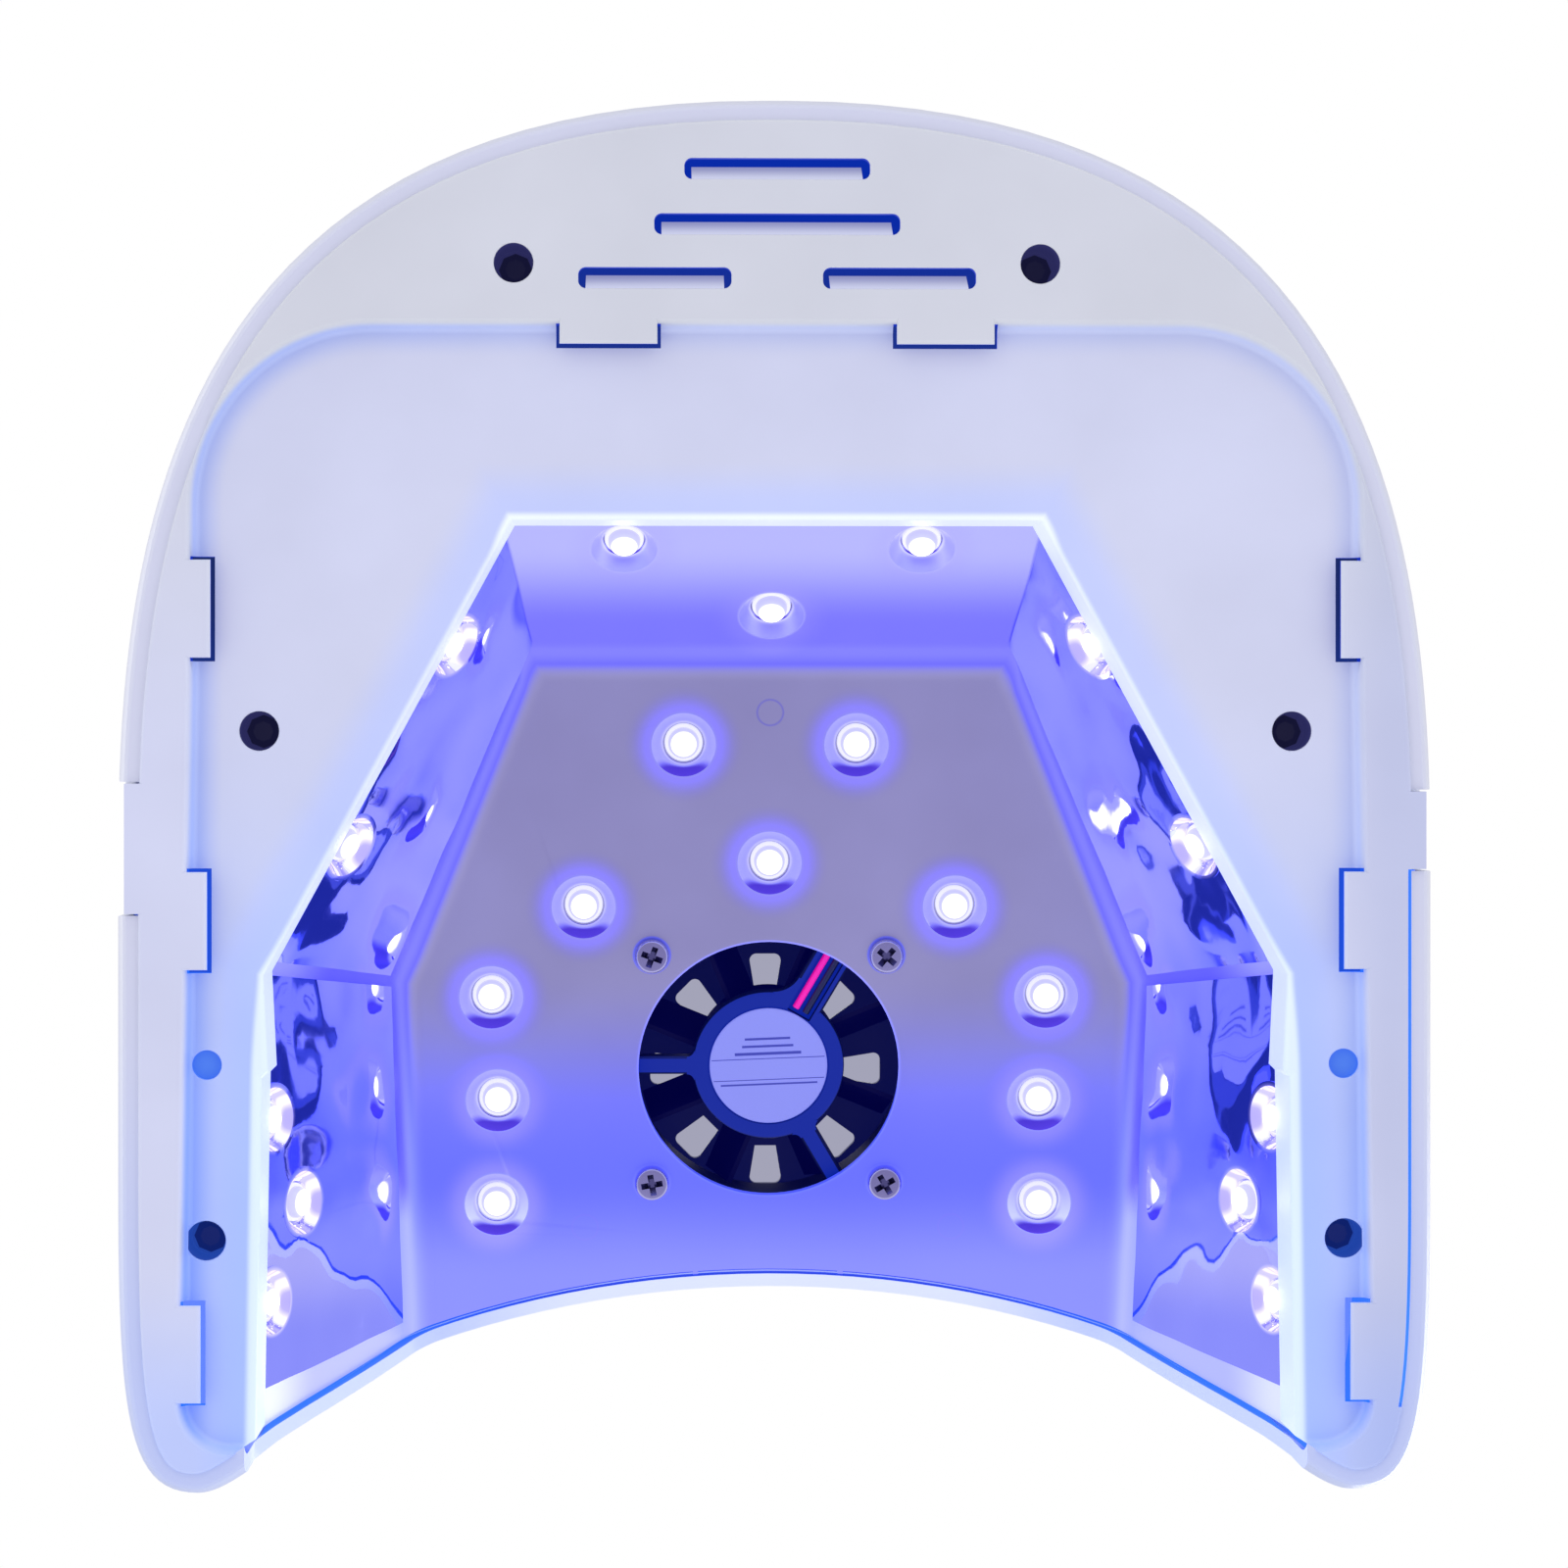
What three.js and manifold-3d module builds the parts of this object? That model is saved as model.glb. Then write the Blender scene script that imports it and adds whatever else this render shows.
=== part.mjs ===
// A gel nail lamp: a domed housing on a moulded base, a silvered reflector with 24 lamp beads round the hand
// space, a cooling fan in its ceiling, and a button deck on top.
// Millimetres, +Z up. The lamp stands on z = 0, and the hand goes in from -Y.
import * as THREE from 'three';
import { mergeVertices } from 'three/addons/utils/BufferGeometryUtils.js';
import Module from 'manifold-3d';

const wasm = await Module();
wasm.setup();

// Overall sizes
const width = 211;
const depth = 223.4;
const height = 90;
const halfWidth = width / 2;
const halfDepth = depth / 2;

// Clearances and other values that every piece uses
const gap = 0.3;
const seamGap = 0.4;
const frontGap = 0.9;
const overrun = 2;
const weldDistance = 1e-4;
const smallSides = 8;
const wellSides = 12;
const buttonSides = 14;
const fanSides = 24;
const arcSegments = 3;

// Plan outline of the shell
const frontReachShare = 0.778;
const frontArcRadius = 182;
const frontArcEndShare = 0.763;
const legTipShare = 0.877;
const legInnerEase = 4;
const legOuterEaseShare = 0.986;
const legShoulderShare = 0.895;
const sideStartShare = 0.627;
const sideEndShare = 0.114;
const backCornerShare = 0.353;
const backEaseShare = 0.757;
const backFlatShare = 0.174;
const outlineSteps = [5, 3, 4, 1, 8];

// Shell
const shellWall = 2.4;
const deckThickness = 2.4;
const skirtFoot = 0.8;
const skirtTuck = 1.6;
const skirtEase = 0.5;
const skirtEaseHeight = 4;
const bulgeHeight = 9;
const shoulderShare = 0.44;
const deckScaleShare = 0.66;
const deckCentreShare = -0.448;
const domeSteps = 5;

// Lower case
const seamInset = 3.9;
const floorThickness = 2.2;
const rimWall = 1.8;
const rimHeight = 9;
const recessDepth = 3;
const recessBackShare = 0.674;
const recessRearWidthShare = 0.885;
const recessFrontWidthShare = 0.902;
const recessTurnShare = 0.16;
const recessFrontShare = 0.935;
const recessCorner = 29;
const recessEndCorner = 8;
const recessEase = 1.6;
const recessSteps = 6;
const collarWall = 1.2;
const collarTopShare = 0.2444;
const collarFillet = 1.2;
const collarStepShare = -0.394;
const collarStep = 1;

// Hand space: corners of the opening at the collar and of the ceiling, as shares of half the width and depth
const openingShares = [[0.402, 0.395], [0.777, -0.256], [0.7905, -1.03]];
const ceilingShares = [[0.368, 0.206], [0.584, -0.288], [0.563, -0.895]];
const ceilingHeightShare = 0.6656;
const ceilingSlopeShare = 0.185;
const linerFootShare = 0.228;
const linerWall = 1.5;
const creaseRadius = 4;
const creaseSteps = 2;
const wallSteps = [5, 3, 1, 3, 5];
const sheetThickness = 0.6;
const nubOffset = 12.5;
const nubWidth = 0.9;
const nubReach = 0.5;

// Lamp beads, and the dish that each stands in
const beadRadius = 3.2;
const beadBody = 1.2;
const beadDome = 2.4;
const beadClearance = 0.35;
const dishRim = 5.45;
const dishDepth = 2;
const dishWall = 0.6;
const beadSides = 8;
const beadSteps = 2;

// Lamp boards
const boardThickness = 1.2;
const boardMargin = 7;
const boardFrontShare = -0.69;

// Fan
const fanSize = 50;
const fanThickness = 10;
const fanCentreShare = -0.421;
const fanHoleRadius = 22.3;
const fanBoreRadius = 23.4;
const fanPitch = 40;
const fanCorner = 3;
const hubRadius = 13;
const hubDepth = 2.4;
const hubSetback = 0.8;
const labelRadius = 10.1;
const labelThickness = 0.3;
const strutWidth = 3.1;
const strutDepth = 2.4;
const leadStrutWidth = 6.4;
const leadChannelWidth = 4.4;
const strutAngles = [0, 2, 4].map((step) => (step * Math.PI) / 3);
const leadStrut = 1;
const bearingRadius = 3.2;
const bearingHeight = 4;
const shaftRadius = 1;
const rotorCupWall = 1.2;
const rotorHubRadius = 12.4;
const bladeCount = 8;
const bladeTipClearance = 0.8;
const bladeThickness = 1;
const bladePitch = 0.87;
const bladeStations = 3;
const leadRadius = 0.6;
const leadSpacing = 1.9;
const leadSteps = 12;
const leadSegments = 4;
const leadPlugReach = 48;

// Deck: vent ring, buttons and display
const ventRingShift = -1.5;
const ventRingInner = 13.6;
const ventRingOuter = 20.3;
const ventCount = 8;
const ventWidthOuter = 5.5;
const ventWidthInner = 3.7;
const ventCorner = 1.2;
const buttonRadius = 7;
const buttonFlange = 1;
const buttonFlangeHeight = 1;
const buttonProud = 0.7;
const buttonTravel = 0.6;
const buttonClearance = 0.35;
const buttonStemRadius = 2.4;
const buttonStemLength = 3;
const buttonPitch = 22;
const buttonRowShare = -0.075;
const buttonShares = [-1.5, -0.5, 0.5, 1.5];
const displayWidth = 44;
const displayLength = 19;
const displayRowShare = 0.135;
const displayPocket = 1.2;
const displayLedge = 2;
const displayCorner = 2;

// Control board
const switchWidth = 6;
const switchHeight = 3.5;
const controlBoardThickness = 1.6;
const controlBoardLength = 46;
const controlBoardRowShare = 0.045;
const deckPostRadius = 2.6;
const deckPostInset = 4;
const plugBlock = 8;

// Screw wells
const wellShares = [[0.398, 0.76], [0.783, 0.093], [0.8635, -0.635]];
const wellRadius = 3.15;
const bossRadius = 4.9;
const wellDepth = 14;
const bossHeight = 16.2;
const postRadius = 3.2;
const postBore = 1.5;
const postBoreDepth = 9;
const screwCrownShare = 0.6;
const caseScrewHead = 2.7;
const caseScrewHeadHeight = 2.1;
const caseScrewShank = 1.2;
const caseScrewLength = 9;
const screwClearance = 0.4;

// Fan screws
const fanScrewHead = 2.9;
const fanScrewHeadHeight = 1.6;
const fanScrewShank = 1.2;
const fanScrewLength = 9;

// Small features of the base
const ventSlotWidth = 3.35;
const ventSlotCorner = 1.2;
const ventSlots = [
  { x: 0, yShare: 0.895, length: 29.6 },
  { x: 0, yShare: 0.816, length: 39.2 },
  { x: 1, yShare: 0.739, length: 24.4 },
  { x: -1, yShare: 0.739, length: 24.4 },
];
const ventSlotOffset = 19.5;
const louvreFoot = 0.3;
const louvreHeight = 7;
const louvreReach = 2.7;
const louvreThickness = 1;
const louvreEndGap = 1.15;
const locatingHoleShares = [0.862, -0.384];
const locatingHoleRadius = 2.35;
const locatingHoleDepth = 1.4;
const tabLength = 15.6;
const tabReach = 3.2;
const tabThickness = 1.6;
const tabSlit = 0.45;
const backTabShare = 0.255;
const sideTabShares = [0.267, -0.178, -0.795];

// Side tabs of the base in the skirt's notches, one round the adapter inlet
const notchHeight = 17;
const notchCorner = 2.5;
const inletNotch = { side: -1, yShare: -0.049, width: 13 };
const plainNotch = { side: 1, yShare: -0.075, width: 21.3 };
const tabFlush = 1.7;
const inletHeight = 10.2;
const inletNose = 4.1;
const inletBore = 2.8;
const inletBoreDepth = 8;
const inletPin = 0.8;
const inletSetback = 0.8;
const inletBody = { width: 9.5, height: 9, length: 11 };

// Colours
const looks = {
  whitePlastic: { color: 0xf1f1f4, roughness: 0.35, metalness: 0 },
  silver: { color: 0xb9b7bb, roughness: 0.3, metalness: 0.9 },
  mirror: { color: 0xd8d8e4, roughness: 0.05, metalness: 1 },
  bead: { color: 0xdcd4ff, roughness: 0.15, metalness: 0 },
  board: { color: 0xe8e8e8, roughness: 0.5, metalness: 0 },
  greenBoard: { color: 0x1d6b3a, roughness: 0.5, metalness: 0 },
  blackPlastic: { color: 0x17181c, roughness: 0.45, metalness: 0 },
  paper: { color: 0xe9e9ee, roughness: 0.6, metalness: 0 },
  steel: { color: 0xc4c4c8, roughness: 0.25, metalness: 1 },
  redLead: { color: 0xc8183a, roughness: 0.5, metalness: 0 },
  blackLead: { color: 0x101018, roughness: 0.5, metalness: 0 },
  smoked: { color: 0x0d0e12, roughness: 0.1, metalness: 0 },
  softWhite: { color: 0xe9e9ee, roughness: 0.5, metalness: 0 },
};

const lamp = new THREE.Group();

// Turns a closed geometry into a solid, faces pointing out
function solid(geometry, matrix = new THREE.Matrix4()) {
  const moved = geometry.clone().applyMatrix4(matrix);
  moved.deleteAttribute('normal');
  moved.deleteAttribute('uv');
  const welded = mergeVertices(moved, weldDistance);
  const at = welded.attributes.position;
  const [a, b, c] = [new THREE.Vector3(), new THREE.Vector3(), new THREE.Vector3()];
  const triangles = [];
  let volume = 0;
  for (let i = 0; i < welded.index.count; i += 3) {
    const corners = [0, 1, 2].map((k) => welded.index.getX(i + k));
    if (new Set(corners).size < corners.length) continue;
    [a, b, c].forEach((corner, k) => corner.fromBufferAttribute(at, corners[k]));
    volume += a.dot(b.cross(c));
    triangles.push(corners);
  }
  const facing = volume < 0 ? triangles.map((corners) => corners.reverse()) : triangles;
  return new wasm.Manifold(new wasm.Mesh({
    numProp: 3,
    vertProperties: Float32Array.from(at.array),
    triVerts: Uint32Array.from(facing.flat()),
  }));
}

function addPiece(name, manifold, look) {
  const mesh = manifold.getMesh();
  const geometry = new THREE.BufferGeometry();
  geometry.setAttribute('position', new THREE.BufferAttribute(Float32Array.from(mesh.vertProperties), 3));
  geometry.setIndex(new THREE.BufferAttribute(Uint32Array.from(mesh.triVerts), 1));
  geometry.computeVertexNormals();
  const piece = new THREE.Mesh(geometry, new THREE.MeshStandardMaterial(looks[look]));
  piece.name = name;
  lamp.add(piece);
}

// Basic solids
function extruded(shape, length) {
  return new THREE.ExtrudeGeometry(shape, { depth: length, bevelEnabled: false, curveSegments: arcSegments });
}

function prism(points, low, high) {
  const shape = points instanceof THREE.Shape
    ? points
    : new THREE.Shape(points.map(([x, y]) => new THREE.Vector2(x, y)));
  return solid(extruded(shape, high - low).translate(0, 0, low));
}

function block(x, y, z) {
  const geometry = new THREE.BoxGeometry(x[1] - x[0], y[1] - y[0], z[1] - z[0]);
  return solid(geometry.translate((x[0] + x[1]) / 2, (y[0] + y[1]) / 2, (z[0] + z[1]) / 2));
}

function rod(radius, low, high, x = 0, y = 0, sides = smallSides) {
  const geometry = new THREE.CylinderGeometry(radius, radius, high - low, sides);
  return solid(geometry.rotateX(Math.PI / 2).translate(x, y, (low + high) / 2));
}

function revolve(profile, sides) {
  const points = profile.map(([r, z]) => new THREE.Vector2(r, z));
  return solid(new THREE.LatheGeometry(points, sides).rotateX(Math.PI / 2));
}

function roundedBox(halfX, halfY, corner) {
  const shape = new THREE.Shape();
  shape.moveTo(-halfX + corner, -halfY);
  shape.lineTo(halfX - corner, -halfY);
  shape.absarc(halfX - corner, -halfY + corner, corner, -Math.PI / 2, 0);
  shape.absarc(halfX - corner, halfY - corner, corner, 0, Math.PI / 2);
  shape.absarc(-halfX + corner, halfY - corner, corner, Math.PI / 2, Math.PI);
  shape.absarc(-halfX + corner, -halfY + corner, corner, Math.PI, Math.PI * 1.5);
  return shape;
}

function meshOf(points, faces, matrix) {
  const coordinates = points.flatMap((p) => [p.x, p.y, p.z]);
  const geometry = new THREE.BufferGeometry();
  geometry.setAttribute('position', new THREE.Float32BufferAttribute(coordinates, 3));
  geometry.setIndex(faces);
  return solid(geometry, matrix);
}

// A closed body through rings of points, its two ends fanned about their middles
function loft(rings, matrix) {
  const count = rings[0].length;
  const middles = [rings[0], rings.at(-1)]
    .map((ring) => ring.reduce((sum, p) => sum.add(p), new THREE.Vector3()).divideScalar(count));
  const lastRing = (rings.length - 1) * count;
  const [footMiddle, headMiddle] = [rings.length * count, rings.length * count + 1];
  const faces = [];
  for (let i = 0; i < count; i += 1) {
    const next = (i + 1) % count;
    faces.push(footMiddle, next, i, headMiddle, lastRing + i, lastRing + next);
    for (let level = 0; level < lastRing; level += count) {
      const [a, b] = [level + i, level + next];
      faces.push(a, b, b + count, a, b + count, a + count);
    }
  }
  return meshOf([...rings.flat(), ...middles], faces, matrix);
}

const joined = (solids) => solids.reduce((whole, next) => whole.add(next));

// Plan outline of the shell, counter-clockwise from the middle of its hollow front edge
function rightOutline() {
  const arcEnd = frontArcEndShare * halfWidth;
  const arcAngle = Math.asin(arcEnd / frontArcRadius);
  const arcCentre = -frontReachShare * halfDepth - frontArcRadius;
  const arcEndY = arcCentre + frontArcRadius * Math.cos(arcAngle);
  const tip = legTipShare * halfWidth;
  const path = new THREE.Path();
  path.absarc(0, arcCentre, frontArcRadius, Math.PI / 2, Math.PI / 2 - arcAngle, true);
  path.bezierCurveTo(
    arcEnd + legInnerEase * Math.cos(arcAngle), arcEndY - legInnerEase * Math.sin(arcAngle),
    tip - legInnerEase, -halfDepth,
    tip, -halfDepth,
  );
  path.bezierCurveTo(
    legOuterEaseShare * halfWidth, -halfDepth,
    halfWidth, -legShoulderShare * halfDepth,
    halfWidth, -sideStartShare * halfDepth,
  );
  path.lineTo(halfWidth, -sideEndShare * halfDepth);
  path.bezierCurveTo(
    halfWidth, backCornerShare * halfDepth,
    backEaseShare * halfWidth, halfDepth,
    backFlatShare * halfWidth, halfDepth,
  );
  const points = path.curves.flatMap((curve, i) => curve.getPoints(outlineSteps[i]));
  return points.filter((p, i) => i === 0 || p.distanceTo(points[i - 1]) > weldDistance);
}

const mirrored = (points) => points.map((p) => new THREE.Vector2(-p.x, p.y)).reverse();
const rightHalf = rightOutline();
const outline = [...rightHalf, ...mirrored(rightHalf.slice(1))];

// The outline moved inward along its normals
function insetOutline(inset) {
  return outline.map((point, i) => {
    const before = point.clone().sub(outline.at(i - 1)).normalize();
    const after = outline[(i + 1) % outline.length].clone().sub(point).normalize();
    const along = before.add(after).normalize();
    return new THREE.Vector2(point.x - along.y * inset, point.y + along.x * inset);
  });
}

const pairs = (points) => points.map((p) => [p.x, p.y]);
const outlinePrism = (inset, low, high) => prism(pairs(insetOutline(inset)), low, high);

// The dome: the outline drawn in towards the deck as it rises, moved inward by one inset all over
const deckCentre = deckCentreShare * halfDepth;
const shoulder = shoulderShare * height;

function shellRing(inset, scale, z) {
  return insetOutline(inset).map((p) => {
    const y = deckCentre + (p.y - deckCentre) * scale;
    return new THREE.Vector3(p.x * scale, y, z);
  });
}

function shellSpace(inset, top, foot) {
  const rings = [
    shellRing(inset + skirtTuck, 1, foot),
    shellRing(inset + skirtEase, 1, skirtEaseHeight),
    shellRing(inset, 1, bulgeHeight),
  ];
  for (let step = 0; step <= domeSteps; step += 1) {
    const turn = (step / domeSteps) * (Math.PI / 2);
    const scale = deckScaleShare + (1 - deckScaleShare) * Math.cos(turn);
    rings.push(shellRing(inset, scale, shoulder + (top - shoulder) * Math.sin(turn)));
  }
  return loft(rings);
}

// The hand space. Each list of its corners runs right front, right middle, right back, left back,
// left middle, left front.
const collarTop = collarTopShare * height;
const linerFoot = linerFootShare * height;
const fanCentre = fanCentreShare * halfDepth;
const ceilingHeight = ceilingHeightShare * height;
const ceilingAt = (y) => ceilingHeight - ceilingSlopeShare * (y - fanCentre);

function openEdge(shares) {
  const right = shares.map(([x, y]) => new THREE.Vector2(x * halfWidth, y * halfDepth)).reverse();
  return [...right, ...mirrored(right)];
}

// Moves each edge of an open polygon outward by its own distance and joins them again at the corners
function offsetEdges(points, distances) {
  const lines = points.slice(1).map((end, i) => {
    const along = end.clone().sub(points[i]).normalize();
    const out = new THREE.Vector2(along.y, -along.x);
    return { along, start: points[i].clone().addScaledVector(out, distances[i]) };
  });
  return points.map((point, i) => {
    const before = lines[Math.max(i - 1, 0)];
    const after = lines[Math.min(i, lines.length - 1)];
    if (before === after) {
      const reach = point.clone().sub(before.start).dot(before.along);
      return before.start.clone().addScaledVector(before.along, reach);
    }
    const cross = before.along.cross(after.along);
    const reach = after.start.clone().sub(before.start).cross(after.along) / cross;
    return before.start.clone().addScaledVector(before.along, reach);
  });
}

const evenly = (distance) => [1, 1, 1, 1, 1].map((one) => one * distance);
const opening = openEdge(openingShares);
const ceilingEdge = openEdge(ceilingShares);
const wallAtCollar = offsetEdges(opening, evenly(collarWall + seamGap));
const wallFoot = wallAtCollar.map((p, i) => {
  const top = ceilingEdge[i];
  const extra = (collarTop - linerFoot) / (ceilingAt(top.y) - collarTop);
  return p.clone().add(p.clone().sub(top).multiplyScalar(extra));
});
const raised = (points, z) => points.map((p) => new THREE.Vector3(p.x, p.y, z));
const onCeiling = (points, lift) => points.map((p) => new THREE.Vector3(p.x, p.y, ceilingAt(p.y) + lift));

// One flat wall of the hand space as a surface: along runs back to front, up runs foot to ceiling
function wallSurface(back, front) {
  const [a, b] = raised([wallFoot[back], wallFoot[front]], linerFoot);
  const [d, c] = onCeiling([ceilingEdge[back], ceilingEdge[front]], 0);
  const alongAt = (up) => b.clone().lerp(c, up).sub(a.clone().lerp(d, up)).normalize();
  const upAt = (along) => d.clone().lerp(c, along).sub(a.clone().lerp(b, along)).normalize();
  return (along, up, behind = 0) => {
    const normal = new THREE.Vector3().crossVectors(alongAt(up), upAt(along)).normalize();
    if (normal.z < 0) normal.negate();
    const point = a.clone().lerp(b, along).lerp(d.clone().lerp(c, along), up);
    return { point: point.addScaledVector(normal, behind), normal, along: alongAt(up) };
  };
}

// The two corners that each wall runs between, the one further back first
const wallEnds = {
  side_right: [1, 0],
  angled_right: [2, 1],
  back: [3, 2],
  angled_left: [3, 4],
  side_left: [4, 5],
};
const walls = Object.fromEntries(
  Object.entries(wallEnds).map(([wall, ends]) => [wall, wallSurface(...ends)]),
);

// Distances behind the walls, measured level, for a distance square to each
const seatDepth = sheetThickness + gap * 2;
const seatOf = (wall) => (wall === 'back' ? 0 : seatDepth);
const behindWalls = (distanceOf) => Object.keys(walls).map((wall) => {
  const { normal } = walls[wall](0.5, 0.5);
  return distanceOf(wall) / Math.hypot(normal.x, normal.y);
});
const linerFace = behindWalls(seatOf);
const linerBack = behindWalls((wall) => seatOf(wall) + linerWall);

// Rings of the reflector's surface, each wall moved out by its own distance and the ceiling lifted
function reflectorRings(distances, lift, foot) {
  const low = raised(offsetEdges(wallFoot, distances), linerFoot);
  const flatEdge = offsetEdges(ceilingEdge, distances);
  const high = onCeiling(flatEdge, lift);
  const inner = onCeiling(offsetEdges(flatEdge, evenly(-creaseRadius)), lift);
  const footRing = low.map((p, i) => high[i].clone().lerp(p, (high[i].z - foot) / (high[i].z - linerFoot)));
  const rings = [footRing];
  for (let step = 0; step <= creaseSteps; step += 1) {
    rings.push(high.map((corner, i) => {
      const start = corner.clone().add(low[i].clone().sub(corner).setLength(creaseRadius));
      return new THREE.QuadraticBezierCurve3(start, corner, inner[i]).getPoint(step / creaseSteps);
    }));
  }
  return rings.map(inSteps);
}

// Cuts each edge of a ring in steps, so that the slightly twisted side walls follow one surface
function inSteps(ring) {
  const stepped = wallSteps.flatMap((steps, edge) => Array.from(
    { length: steps },
    (_, step) => ring[edge].clone().lerp(ring[edge + 1], step / steps),
  ));
  return [...stepped, ring.at(-1)];
}

// A frame on a surface, its +Z pointing into the hand space
function facing(point, normal, along) {
  const out = normal.clone().negate();
  const x = along.clone().addScaledVector(out, -along.dot(out)).normalize();
  const matrix = new THREE.Matrix4().makeBasis(x, new THREE.Vector3().crossVectors(out, x), out);
  return matrix.setPosition(point);
}

const ceilingNormal = new THREE.Vector3(0, ceilingSlopeShare, 1).normalize();
const acrossCeiling = new THREE.Vector3(1, 0, 0);
const ceilingPoint = (x, y) => new THREE.Vector3(x, y, ceilingAt(y));
const ceilingFrame = (x, y) => facing(ceilingPoint(x, y), ceilingNormal, acrossCeiling);

// A panel between two depths behind a wall, in steps along it. Its ends may slant: each is given at its foot
// and its head.
function panel(wall, [backShares, frontShares], [upLow, upHigh], near, far) {
  const steps = wallSteps[Object.keys(walls).indexOf(wall)];
  const corners = [[upLow, near], [upHigh, near], [upHigh, far], [upLow, far]];
  const rings = [];
  for (let step = 0; step <= steps; step += 1) {
    rings.push(corners.map(([up, behind]) => {
      const [start, end] = [backShares, frontShares].map(([foot, head]) => foot + (head - foot) * up);
      return walls[wall](start + (step / steps) * (end - start), up, behind).point;
    }));
  }
  return loft(rings);
}

// Places of the lamp beads: shares along and up each wall, and places on the ceiling
const wallBeadShares = {
  back: [[0.21, 0.27], [0.79, 0.27], [0.5, 0.71]],
  angled: [[0.25, 0.2], [0.715, 0.205]],
  side: [[0.29, 0.135], [0.47, 0.315], [0.645, 0.135]],
};
const kindOf = (wall) => wall.split('_')[0];
const sheetWalls = Object.keys(walls).filter((wall) => wall !== 'back');
const beadRowShares = [[0.1386, 0.0756], [0.4493, -0.3097], [0.4398, -0.469], [0.4427, -0.631]];
const fanBeadGap = 10.4;
const fanBeadSide = 6.6;
const fanBeadRise = 2.9;
const fanRear = fanCentre + fanSize / 2;
const pairOf = ([x, y]) => [[x, y], [-x, y]];
const ceilingBeads = [
  ...beadRowShares.flatMap(([x, y]) => pairOf([x * halfWidth, y * halfDepth])),
  [0, fanRear + fanBeadGap],
  ...pairOf([fanSize / 2 + fanBeadSide, fanRear + fanBeadRise]),
];
const beadFrames = { ceiling: ceilingBeads.map(([x, y]) => ceilingFrame(x, y)) };
for (const wall of Object.keys(walls)) {
  beadFrames[wall] = wallBeadShares[kindOf(wall)].map(([along, up]) => {
    const place = walls[wall](along, up);
    return facing(place.point, place.normal, place.along);
  });
}

const beadHole = beadRadius + beadClearance;
const dishBack = dishDepth + dishWall;
const boardFront = dishBack + gap * 3;
const boardBack = boardFront + boardThickness;
const dishClearance = rod(dishRim + dishWall + gap, -boardBack, overrun, 0, 0, beadSides);
const dishFunnel = revolve([
  [0, overrun],
  [dishRim + (overrun / dishDepth) * (dishRim - beadHole), overrun],
  [beadHole, -dishDepth],
  [beadHole, -dishBack - overrun],
  [0, -dishBack - overrun],
], beadSides);
const dishBody = revolve([
  [0, -sheetThickness / 2],
  [dishRim + dishWall, -sheetThickness / 2],
  [beadHole + dishWall, -dishBack],
  [0, -dishBack],
], beadSides);

function withDishes(sheet, frames) {
  const filled = frames.reduce((rest, frame) => rest.add(dishBody.transform(frame.elements)), sheet);
  return frames.reduce((rest, frame) => rest.subtract(dishFunnel.transform(frame.elements)), filled);
}

// The silvered moulding: ceiling and back wall with their dishes, two nubs at its front edge, and the backing
// of the mirror sheets
function makeLiner() {
  const outer = loft(reflectorRings(linerBack, linerWall, linerFoot));
  const inner = loft(reflectorRings(linerFace, 0, linerFoot - overrun));
  const wallHoles = sheetWalls.flatMap((wall) => beadFrames[wall]);
  const moulding = outer.subtract(inner);
  const nubs = moulding.intersect(shellSpace(shellWall + frontGap - nubReach, height, 0)).intersect(joined(
    pairOf([nubOffset, 0]).map(([x]) => block(
      [x - nubWidth / 2, x + nubWidth / 2],
      [-halfDepth, openingShares[1][1] * halfDepth],
      [0, height],
    )),
  ));
  const shell = moulding.intersect(shellSpace(shellWall + frontGap, height, 0)).add(nubs);
  const fanHole = rod(fanHoleRadius, -overrun, linerWall + overrun, 0, 0, fanSides);
  const screwHoles = fanScrewPlaces().map(([x, y]) => rod(
    fanScrewShank + screwClearance, -overrun, linerWall + overrun, x, y,
  ));
  const pierced = [fanHole, ...screwHoles]
    .reduce((rest, hole) => rest.subtract(hole.transform(fanFrame.elements)), shell);
  const open = wallHoles
    .reduce((rest, frame) => rest.subtract(dishClearance.transform(frame.elements)), pierced);
  return withDishes(open, [...beadFrames.ceiling, ...beadFrames.back]);
}

// Mirror sheets lie in front of the liner's angled and side walls
const sheetAlongShares = {
  angled: [[0.018, 0.018], [0.985, 0.985]],
  side: [[0.012, 0.012], [0.78, 0.845]],
};
const sheetHeadGap = 0.45;

// How far up a wall its sheet reaches: to just below the rounded crease at the ceiling
function sheetHead(wall) {
  const rises = wallEnds[wall].map((corner) => {
    const [foot] = raised([wallFoot[corner]], linerFoot);
    const [head] = onCeiling([ceilingEdge[corner]], 0);
    return foot.distanceTo(head);
  });
  return 1 - (creaseRadius + sheetHeadGap) / Math.min(...rises);
}

function makeSheet(wall) {
  const flat = panel(wall, sheetAlongShares[kindOf(wall)], [0, sheetHead(wall)], 0, sheetThickness);
  return withDishes(flat, beadFrames[wall]);
}

// Lamp boards
const boardExtentShares = {
  back: { along: [[0.1, 0.1], [0.9, 0.9]], up: [0.1, 0.88] },
  angled: { along: [[0.12, 0.12], [0.84, 0.84]], up: [0.08, 0.36] },
  side: { along: [[0.2, 0.2], [0.73, 0.73]], up: [0.06, 0.44] },
};

function makeWallBoard(wall) {
  const { along, up } = boardExtentShares[kindOf(wall)];
  return panel(wall, along, up, boardFront, boardBack);
}

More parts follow.
